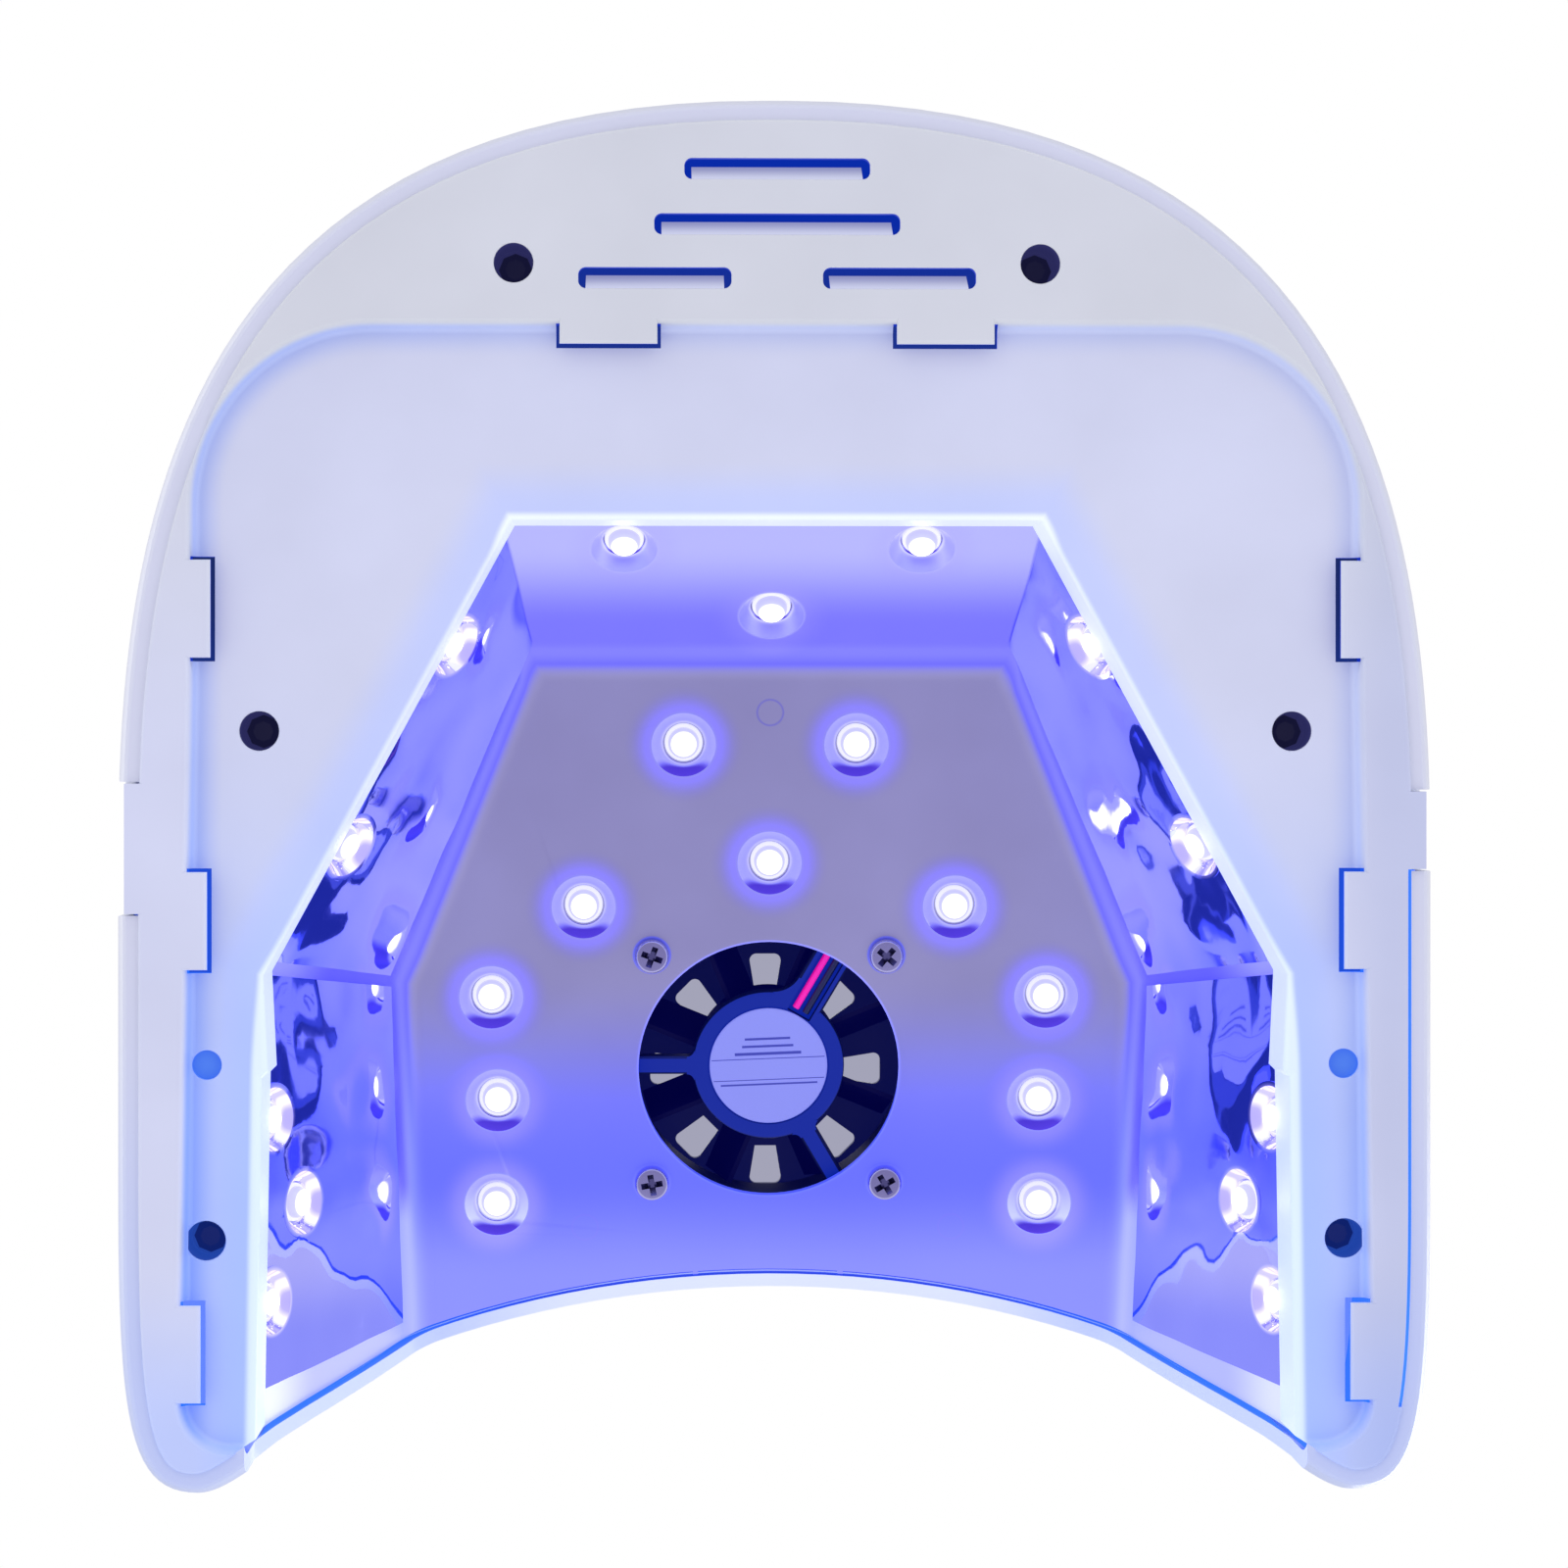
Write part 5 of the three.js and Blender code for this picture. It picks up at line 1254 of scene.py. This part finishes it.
def make_base():
    recess_top = RECESS_DEPTH + FLOOR
    inside = SEAM_INSET + RIM_WALL
    rings = [raised(inset(SEAM_INSET + pull), z) for pull, z in rounding(EDGE_ROUND, 5)]
    body = loft([*rings, raised(inset(SEAM_INSET), RIM_HEIGHT)])
    minus(body, prism(inset(inside), recess_top, RIM_HEIGHT + OVERRUN))
    minus(body, minus(prism(inset(inside), FLOOR, recess_top + OVERRUN),
                      prism(recess_shape(RECESS_EASE + FLOOR), 0, RIM_HEIGHT)))
    minus(body, loft([raised(recess_shape(grow), z) for grow, z in RECESS_EDGE]))

    collar = within(prism(collar_edge(COLLAR_WALL), RECESS_DEPTH, COLLAR_TOP),
                    prism(inset(SEAM_INSET), 0, HEIGHT))
    bosses = [rod(BOSS_RADIUS, RECESS_DEPTH if y < RECESS_BACK else BOSS_FOOT, BOSS_HEIGHT, x, y)
              for x, y in WELLS]
    plus(body, collar, *bosses, *[notch_block(n, GAP, NOTCH_START, HALF_WIDTH - TAB_FLUSH) for n in NOTCHES])
    mouth = [raised(collar_edge(COLLAR_FILLET * 2), RECESS_DEPTH - COLLAR_FILLET)]
    mouth += [raised(collar_edge(pull), RECESS_DEPTH + z) for pull, z in rounding(COLLAR_FILLET, 6)]
    mouth.append(raised(collar_edge(0), HEIGHT))
    minus(body, prism(collar_edge(0), -OVERRUN, HEIGHT), loft(mouth))

    holes = [pocket(WELL_RADIUS, x, y, WELL_EASE, 0 if y > RECESS_BACK else RECESS_DEPTH, WELL_DEPTH)
             for x, y in WELLS]
    holes += [pocket(LOCATING_RADIUS, x, y, SMALL_EASE, RECESS_DEPTH, LOCATING_TOP)
              for x, y in LOCATING_HOLES]
    shanks = [rod(SHANK_HOLE, WELL_DEPTH - OVERRUN, BOSS_HEIGHT + OVERRUN, x, y) for x, y in WELLS]
    minus(body, together(holes + [vent_cut(*vent) for vent in VENTS]), together(shanks))
    plus(body, together([louvre(*vent) for vent in VENTS]))
    right_side = block((-HALF_WIDTH, -HALF_WIDTH * 0.8), SIDE_GAP_ENDS, (-OVERRUN, RIM_HEIGHT + OVERRUN))
    minus(body, minus(right_side, prism(inset(SEAM_INSET + SIDE_GAP), -OVERRUN * 2, HEIGHT)))
    reach, half = TAB_REACH + TAB_SLIT, TAB_LENGTH / 2 + TAB_SLIT
    minus(body, together([moved(block((0, reach), (-half, half), (-OVERRUN, recess_top + OVERRUN)), place)
                          for place in TABS]))
    tabs = together([moved(rounded_tab(), place) for place in TABS])
    plus(body, within(tabs, prism(inset(SEAM_INSET), 0, RIM_HEIGHT)))
    nose = rod(INLET_NOSE + GAP, HALF_WIDTH - OVERRUN * 5, HALF_WIDTH + OVERRUN)
    turn = Matrix.Rotation(-math.pi / 2, 4, "Y")
    minus(body, moved(nose, shift(0, INLET_NOTCH["y"], INLET_HEIGHT) @ turn))
    show(body, "base", ("plastic", "deep", "slit", "disc", "louvre"),
         replaces=["lower_case"])
    choose_faces(body, base_face)


def base_face(middle, normal):
    """Which look a face has: 1 in the wells, 2 in slits and slots, 3 on the small discs, 4 on louvres."""
    near, slight, steep = FACE_NEAR, 0.2, 0.8
    for x, y in WELLS:
        foot = WELL_EASE + near if y > RECESS_BACK else RECESS_DEPTH + WELL_EASE + near
        if math.hypot(middle.x - x, middle.y - y) < WELL_RADIUS + near and middle.z > foot:
            return 1
    for x, y in LOCATING_HOLES:
        inside = math.hypot(middle.x - x, middle.y - y) < LOCATING_RADIUS + near
        if inside and middle.z > RECESS_DEPTH + SMALL_EASE:
            return 3
    for x, y, length in VENTS:
        inside = abs(middle.x - x) < length / 2 + near and abs(middle.y - y) < VENT_WIDTH / 2 + near
        if inside and middle.z > SMALL_EASE:
            return 4 if abs(normal.y) > steep > abs(normal.x) and abs(normal.z) > slight else 2
    if abs(normal.z) > slight:
        return 0
    for place in TABS:
        local = place.inverted() @ middle
        if -near < local.x < TAB_REACH + TAB_SLIT + near and abs(local.y) < TAB_LENGTH / 2 + TAB_SLIT + near:
            return 2 if middle.z > TAB_ROUND or local.x > TAB_REACH + near else 0
    return 0


# Reflector
def dish_funnel():
    """What a dish takes from its sheet: the hole for the bead, the bowl and the rounded rim."""
    foot = -DISH_DEPTH - DISH_WALL - OVERRUN
    bowl = [(BEAD_HOLE + (DISH_RIM - BEAD_HOLE) * t ** BOWL_SPREAD, -DISH_DEPTH * (1 - t ** BOWL_RISE))
            for t in (i / DISH_STEPS for i in range(1, DISH_STEPS + 1))]
    flare = [(DISH_RIM + out, z) for out, z in DISH_FLARE]
    return revolve([(0, foot), (BEAD_HOLE, foot), (BEAD_HOLE, -DISH_DEPTH), *bowl, *flare, (0, OVERRUN)])


def dish_body():
    top, foot = -SHEET_THICKNESS / 2, -DISH_DEPTH - DISH_WALL
    return revolve([(0, top), (DISH_RIM + DISH_WALL, top), (BEAD_HOLE + DISH_WALL, foot), (0, foot)])


def with_dishes(sheet, places):
    plus(sheet, together([moved(dish_body(), place) for place in places]))
    return minus(sheet, together([moved(dish_funnel(), place) for place in places]))


def make_liner():
    outer = loft(reflector_rings(LINER_BACK, LINER_WALL, LINER_FOOT))
    minus(outer, loft(reflector_rings(LINER_FACE, 0, LINER_FOOT - OVERRUN)))
    nubs = within(placed("nubs", outer.data.copy()),
                  shell_space(SHELL_WALL + FRONT_GAP - NUB_REACH, HEIGHT, 0))
    half = NUB_WIDTH / 2
    within(nubs, together([block((x - half, x + half), (-HALF_DEPTH, OPENING[1].y), (0, HEIGHT))
                           for x in (-NUB_OFFSET, NUB_OFFSET)]))
    plus(within(outer, shell_space(SHELL_WALL + FRONT_GAP, HEIGHT, 0)), nubs)
    holes = [rod(FAN_HOLE, -OVERRUN, LINER_WALL + OVERRUN, sides=FAN_SIDES)]
    holes += [rod(SHANK_HOLE, -OVERRUN, LINER_WALL + OVERRUN, x, y) for x, y in FAN_SCREWS]
    minus(outer, moved(together(holes), FAN))
    dish_room = DISH_RIM + DISH_WALL + GAP
    minus(outer, together([moved(rod(dish_room, -BOARD_FRONT - DISH_ROOM, OVERRUN), place)
                           for place in SHEET_BEADS]))
    with_dishes(outer, LINER_BEADS)
    show(outer, "reflector", ("satin",), replaces=["reflector_liner"], sharp=38)


def sheet_head(wall):
    """How far up a wall its sheet reaches: to just below the rounded crease at the ceiling."""
    feet = raised([WALL_FOOT[i] for i in WALL_ENDS[wall]], LINER_FOOT)
    heads = on_ceiling([CEILING[i] for i in WALL_ENDS[wall]], 0)
    return 1 - (CREASE_RADIUS + SHEET_HEAD_GAP) / min((foot - head).length for foot, head in zip(feet, heads))


def wave(point):
    """How far the pressed sheet stands off flat, which bends its reflections."""
    slow = SHEET_WAVE * noise.noise(point / SHEET_WAVE_LENGTH)
    return slow + SHEET_RIPPLE * noise.noise(point / SHEET_RIPPLE_LENGTH)


def make_sheet(wall):
    (back_foot, back_head), (front_foot, front_head) = SHEET_ALONG[kind_of(wall)]
    head = sheet_head(wall)
    rings = []
    for share in (step / SHEET_STEPS for step in range(SHEET_STEPS + 1)):
        near, far = [], []
        for row in range(SHEET_RISE_STEPS + 1):
            up = head * row / SHEET_RISE_STEPS
            start = back_foot + (back_head - back_foot) * up
            along = start + (front_foot + (front_head - front_foot) * up - start) * share
            off = wave(WALLS[wall](along, up)[0]) + SHEET_WAVE + SHEET_RIPPLE
            near.append(WALLS[wall](along, up, off)[0])
            far.append(WALLS[wall](along, up, off + SHEET_THICKNESS)[0])
        rings.append(near + far[::-1])
    sheet = with_dishes(sheet_body(rings), BEAD_FRAMES[wall])
    show(sheet, f"sheet_{wall}", ("mirror",), replaces=[f"mirror_sheet_{wall}"],
         sharp=40)


def sheet_body(rings):
    """A thin body through long rings, its ends closed by strips between the two faces."""
    count = len(rings[0])
    points = [p for ring in rings for p in ring]
    faces = between_rings(len(points), count)
    for first in (0, len(points) - count):
        last = first + count - 1
        faces += [(first + i, first + i + 1, last - 1 - i, last - i) for i in range(count // 2 - 1)]
    return new_body(points, faces)


# Lamp beads
def make_bead(name, place):
    foot = GAP - BOARD_FRONT
    top = foot + BEAD_BODY
    lens = top + LENS_LIFT
    profile = [(0, foot), (BEAD_RADIUS - BEAD_FOOT_EDGE, foot), (BEAD_RADIUS, foot + BEAD_FOOT_EDGE),
               (BEAD_RADIUS, top - BEAD_TOP_EDGE), (BEAD_RADIUS - BEAD_TOP_EDGE, top),
               (LENS_RADIUS + LENS_SEAT, top)]
    profile += [(LENS_RADIUS * math.cos(turn), lens + (BEAD_DOME - LENS_LIFT) * math.sin(turn))
                for turn in quarter(12)[:-1]]
    bead = revolve([*profile, (0, top + BEAD_DOME)], 40)
    spread = bead.data.attributes.new("spread", "FLOAT", "POINT")
    for vertex, value in zip(bead.data.vertices, spread.data):
        value.value = math.hypot(vertex.co.x, vertex.co.y) / MM / BEAD_RADIUS
    choose_faces(bead, lambda middle, normal: middle.z < top + LENS_LIFT / 2)
    show(moved(bead, place), f"bead_{name[4:]}", ("lens", "bead_body"), replaces=[name])


# Fan
def fan_strut(angle, width):
    """A strut with its two front edges eased."""
    half = width / 2
    right = [(half - STRUT_EASE, HUB_FRONT), (half, HUB_FRONT + STRUT_EASE), (half, HUB_FRONT + STRUT_DEPTH)]
    section = [(-y, z) for y, z in reversed(right)] + right
    ends = (HUB_RADIUS - OVERRUN, FAN_BORE + OVERRUN)
    return moved(loft([[Vector((x, y, z)) for y, z in section] for x in ends]), about_z(angle))


def strut_root(angle, half, fillet, side):
    """The rounded web between one side of a strut and the hub."""
    reach = math.sqrt((HUB_RADIUS + fillet) ** 2 - (half + fillet) ** 2)
    meet = math.atan2(half + fillet, reach)
    shape = [(HUB_RADIUS - OVERRUN, 0), (reach, 0)]
    for turn in (math.pi / 2 - (math.pi / 2 - meet) * i / 12 for i in range(13)):
        shape.append((reach - fillet * math.cos(turn), half + fillet - fillet * math.sin(turn)))
    root = prism([(x, y * side) for x, y in shape], HUB_FRONT, HUB_FRONT + STRUT_DEPTH)
    return moved(root, about_z(angle))


def make_fan_frame():
    through = (FAN_FRONT - OVERRUN, FAN_BACK + OVERRUN)
    body = prism(rounded_box(FAN_SIZE / 2, FAN_SIZE / 2, FAN_CORNER), FAN_FRONT, FAN_BACK)
    minus(body, rod(FAN_BORE, *through, sides=FAN_SIDES))
    hub = revolve([(0, HUB_FRONT), (HUB_RADIUS - HUB_ROUND, HUB_FRONT),
                   (HUB_RADIUS - HUB_ROUND_MIDDLE, HUB_FRONT + HUB_ROUND_MIDDLE),
                   (HUB_RADIUS, HUB_FRONT + HUB_ROUND), (HUB_RADIUS, HUB_BACK), (0, HUB_BACK)], FAN_SIDES)
    lead_angle = STRUT_ANGLES[LEAD_STRUT]
    struts, roots = [], []
    for angle in STRUT_ANGLES:
        struts.append(fan_strut(angle, LEAD_STRUT_WIDTH if angle == lead_angle else STRUT_WIDTH))
        if angle != lead_angle:
            roots += [strut_root(angle, STRUT_WIDTH / 2, STRUT_FILLET, side) for side in (1, -1)]
    roots.append(strut_root(lead_angle, LEAD_STRUT_WIDTH / 2, LEAD_FILLET, -1))
    plus(body, hub, rod(BEARING_RADIUS, *BEARING_ENDS), *struts)
    plus(body, *roots)
    half = LEAD_CHANNEL_WIDTH / 2
    channel = block((LABEL_RADIUS, FAN_SIZE), (-half, half),
                    (FAN_FRONT - OVERRUN, HUB_FRONT + LEAD_RADIUS * 2 + GAP * 2))
    seat = rod(LABEL_RADIUS + GAP, HUB_FRONT - OVERRUN, HUB_FRONT + GAP, sides=FAN_SIDES)
    holes = together([rod(FAN_SCREW_HOLE, *through, x, y) for x, y in FAN_SCREWS])
    bore = rod(BEARING_BORE, BEARING_ENDS[0], FAN_BACK)
    minus(body, moved(channel, about_z(lead_angle)), seat, bore, holes)
    show(moved(body, FAN), "fan_housing", ("fan",), replaces=["fan_frame"])


def make_blade(index):
    low, high = HUB_BACK + GAP * 3, FAN_BACK - GAP * 3
    root = ROTOR_HUB - ROTOR_WALL / 2
    chord = (high - low) / math.tan(BLADE_PITCH)
    turn_all = math.tau * (index + 0.5) / BLADE_COUNT
    rings = []
    for station in range(BLADE_STATIONS + 1):
        radius = root + (BLADE_TIP - root) * station / BLADE_STATIONS
        edge, other = [], []
        for t in (step / BLADE_STEPS for step in range(BLADE_STEPS + 1)):
            across = -chord / 2 + chord * t - BLADE_CAMBER * math.sin(math.pi * t)
            swell = math.sin(math.pi * min(t + BLADE_THICKEST, 1))
            half = BLADE_THICKNESS / 2 * (BLADE_THIN_EDGE + (1 - BLADE_THIN_EDGE) * swell)
            z = low + (high - low) * t
            for ring, side in ((edge, -1), (other, 1)):
                angle = (across + side * half) / radius + turn_all
                ring.append(Vector((radius * math.cos(angle), radius * math.sin(angle), z)))
        rings.append(edge + other[::-1])
    return loft(rings)


def make_rotor():
    cup_low, cup_high = HUB_BACK + GAP * 2, FAN_BACK - GAP
    inner = ROTOR_HUB - ROTOR_WALL
    cup = revolve([(0, HUB_BACK + GAP), (SPINDLE, HUB_BACK + GAP), (SPINDLE, cup_high - ROTOR_WALL),
                   (inner, cup_high - ROTOR_WALL), (inner, cup_low), (ROTOR_HUB, cup_low),
                   (ROTOR_HUB, cup_high - ROTOR_EDGE), (ROTOR_HUB - ROTOR_EDGE, cup_high), (0, cup_high)],
                  FAN_SIDES)
    plus(cup, *[make_blade(i) for i in range(BLADE_COUNT)])
    show(moved(cup, FAN), "fan_impeller", ("rotor",), body="rotor",
         replaces=["fan_rotor"])


def make_label():
    high, low = HUB_FRONT, HUB_FRONT - LABEL_THICKNESS
    pull, rise = LABEL_EDGE
    label = revolve([(0, low), (LABEL_RADIUS - pull, low), (LABEL_RADIUS, low + rise), (LABEL_RADIUS, high),
                     (0, high)], FAN_SIDES)
    proud = (low - PRINT_PROUD, low + PRINT_PROUD)
    bars = [block((x - length / 2, x + length / 2), (y - width / 2, y + width / 2), proud)
            for x, y, length, width in PRINT_BARS]
    printed = within(together(bars), rod(LABEL_RADIUS - PRINT_MARGIN, low - OVERRUN, high, sides=FAN_SIDES))
    plus(label, moved(printed, about_z(math.radians(PRINT_TURN))))
    choose_faces(label, lambda middle, normal: middle.z < low - PRINT_PROUD / 2)
    show(moved(label, FAN), "fan_badge", ("paper", "ink"), replaces=["fan_label"])


def make_screw(index, place):
    """A flat head with a cross recess, its top towards the hand space."""
    edge = [(SCREW_HEAD - pull, z - SCREW_HEAD_HEIGHT) for pull, z in rounding(EDGE_ROUND, 6)]
    body = revolve([(0, -SCREW_HEAD_HEIGHT), *edge, (SCREW_HEAD, 0), (SHANK, 0), (SHANK, SHANK_END),
                    (0, SHANK_POINT)])
    arm, half = SCREW_ARM, SCREW_ARM_WIDTH / 2
    for turn in (0, math.pi / 2):
        wide = [(-arm, -half), (arm, -half), (arm, half), (-arm, half)]
        narrow = [(x * CROSS_TAPER[0], y * CROSS_TAPER[1]) for x, y in wide]
        cross = loft([raised(wide, -SCREW_HEAD_HEIGHT - GAP),
                      raised(narrow, -SCREW_HEAD_HEIGHT + CROSS_DEPTH)])
        minus(body, moved(cross, about_z(turn + math.radians(CROSS_TURN * index))))
    rim = SCREW_HEAD - EDGE_ROUND - 0.05
    # Faces inside the cross recess take the darker recess look, which is painted shade
    choose_faces(body, lambda middle, normal: (-SCREW_HEAD_HEIGHT + 0.02 < middle.z < 0
                                               and math.hypot(middle.x, middle.y) < rim))
    moved(body, FAN @ shift(*place, -GAP))
    show(body, f"screw_{index}", ("steel", "cross"), replaces=[f"fan_screw_{index}"])


def make_lead(side, name, look):
    angle = STRUT_ANGLES[LEAD_STRUT]
    run = HUB_FRONT + GAP + LEAD_RADIUS
    reaches = ((LABEL_RADIUS + GAP + LEAD_RADIUS, run), (FAN_BORE - LEAD_RADIUS, run),
               (FAN_SIZE / 2 + LEAD_STRUT_WIDTH, run), (FAN_SIZE / 2 + LEAD_PLUG, FAN_BACK))
    to_world = FAN @ about_z(angle)
    sideways = to_world.to_3x3() @ Vector((0, side * LEAD_SPACING / 2, 0))
    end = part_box("control_board")[0].z / MM - GAP
    plug = Vector((LEAD_PLUG_REACH * math.cos(angle), FAN_Y + LEAD_PLUG_REACH * math.sin(angle), end))
    points = [to_world @ Vector((reach, 0, z)) for reach, z in reaches]
    points += [plug - Vector((0, 0, LEAD_PLUG)), plug]
    made = tube(catmull([p + sideways for p in points], LEAD_STEPS), LEAD_RADIUS)
    show(made, f"lead_{name}", (look,), replaces=[f"fan_lead_{name}"])


# Deck
def make_button(index):
    low, middle, high = button_box(index)
    top, foot = high.z, low.z
    flange = HEIGHT - SHELL_WALL - GAP
    under, wide = flange - BUTTON_FLANGE, BUTTON_RADIUS + BUTTON_FLANGE
    pull, drop_by = BUTTON_EDGE
    cap = [(BUTTON_RADIUS, flange), (BUTTON_RADIUS, top - drop_by)]
    cap += [(BUTTON_RADIUS - pull * math.sin(turn), top - drop_by + drop_by * math.sin(turn))
            for turn in quarter(6)[1:]]
    dish = [(BUTTON_RADIUS - inwards, top - down) for inwards, down in BUTTON_DISH]
    stem = [(0, foot), (BUTTON_STEM, foot), (BUTTON_STEM, under), (wide, under), (wide, flange)]
    made = moved(revolve([*stem, *cap, *dish], 64), shift(middle.x, middle.y))
    show(made, f"key_{index}", ("button",), body=f"button_{index}",
         replaces=[f"button_{index}"])


def make_display():
    rings = [raised(display_box(0), HEIGHT - DISPLAY_POCKET)]
    rings += [raised(display_box(-pull), HEIGHT - down) for down, pull in rounding(DISPLAY_EDGE, 5)]
    made = moved(loft(rings), shift(0, DISPLAY_Y))
    show(made, "window", ("smoked",), replaces=["display_window"])


# Carried-over nodes, floor and light
def dress_nodes():
    kept = {"led_board": "board", "control_board": "green", "display_module": "black", "dc_inlet": "black",
            "case_screw": "dark_steel"}
    for name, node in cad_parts.items():
        for start, look in kept.items():
            if name.startswith(start):
                node.data.materials.clear()
                node.data.materials.append(LOOKS[look])


def make_floor():
    """A pale floor that only the camera sees, and that is clear from below."""
    corners = [(sx * FLOOR_HALF, sy * FLOOR_HALF, 0) for sx, sy in ((-1, -1), (1, -1), (1, 1), (-1, 1))]
    mesh = bpy.data.meshes.new("floor")
    mesh.from_pydata(corners, [], [(0, 1, 2, 3)])
    floor = placed("floor", mesh)
    floor.location.z = -FLOOR_DROP * MM
    made = bpy.data.materials.new("floor")
    made.use_nodes = True
    tree = made.node_tree
    shader = tree.nodes["Principled BSDF"]
    put(tree, shader.inputs["Base Color"], (0.86, 0.86, 0.88))
    put(tree, shader.inputs["Roughness"], 0.6)
    either = {0: field_of(tree, "NewGeometry", output="Backfacing"), 1: Field(tree, shader.outputs["BSDF"]),
              2: field_of(tree, "BsdfTransparent")}
    put(tree, tree.nodes["Material Output"].inputs["Surface"], field_of(tree, "MixShader", either))
    mesh.materials.append(made)
    floor.visible_shadow = False
    floor.visible_diffuse = False
    floor.visible_glossy = False
    floor.visible_transmission = False


def make_light():
    """A soft studio with two lamps. The camera sees it white, and dimmer behind the vent ring."""
    world = bpy.data.worlds.new("studio")
    bpy.context.scene.world = world
    world.use_nodes = True
    tree = world.node_tree
    toward = field_of(tree, "TexCoord", output="Generated")
    sky = toward.parts()[2].scaled(-1, 1).ramp(
        (0, (0.42, 0.40, 0.62)), (0.07, (0.46, 0.44, 0.66)), (0.2, SOFT_BOX), (0.42, SOFT_BOX),
        (0.52, (0.62, 0.62, 0.68)), last=(1, (0.75, 0.75, 0.78)))
    overhead = (Vector((0, VENT_RING_Y * MM, HEIGHT * MM)) - CAMERA_AT).normalized()
    dim = toward.far_from(overhead).fade(0.040, 0.026)
    plain = tree.nodes["Background"]
    put(tree, plain.inputs["Color"], layered((1, 1, 1), [(dim, (0.37, 0.37, 0.48))]))
    either = {0: field_of(tree, "LightPath", output="Is Camera Ray"),
              1: field_of(tree, "Background", {"Color": sky}), 2: Field(tree, plain.outputs["Background"])}
    put(tree, tree.nodes["World Output"].inputs["Surface"], field_of(tree, "MixShader", either))
    for name, at, size, power in (("key", (-0.7, -0.6, 0.9), 0.8, 5), ("fill", (0.8, 0.2, 0.6), 0.8, 1.5)):
        data = bpy.data.lights.new(name, "AREA")
        data.size = size
        data.energy = power
        lamp = placed(name, data)
        lamp.location = at
        lamp.rotation_euler = (Vector((0, 0, 0.04)) - Vector(at)).to_track_quat("-Z", "Y").to_euler()
    bpy.context.scene.view_settings.view_transform = "Standard"


make_shell()
make_base()
make_liner()
for wall_name in SHEET_WALLS:
    make_sheet(wall_name)
for wall_name, wall_frames in BEAD_FRAMES.items():
    for number, bead_frame in enumerate(wall_frames):
        make_bead(f"led_{wall_name}_{number + 1}", bead_frame)
make_fan_frame()
make_rotor()
make_label()
for number, screw_place in enumerate(FAN_SCREWS):
    make_screw(number + 1, screw_place)
make_lead(-1, "red", "red")
make_lead(1, "black", "dark_lead")
for number in BUTTONS:
    make_button(number)
make_display()
dress_nodes()
make_floor()
make_light()
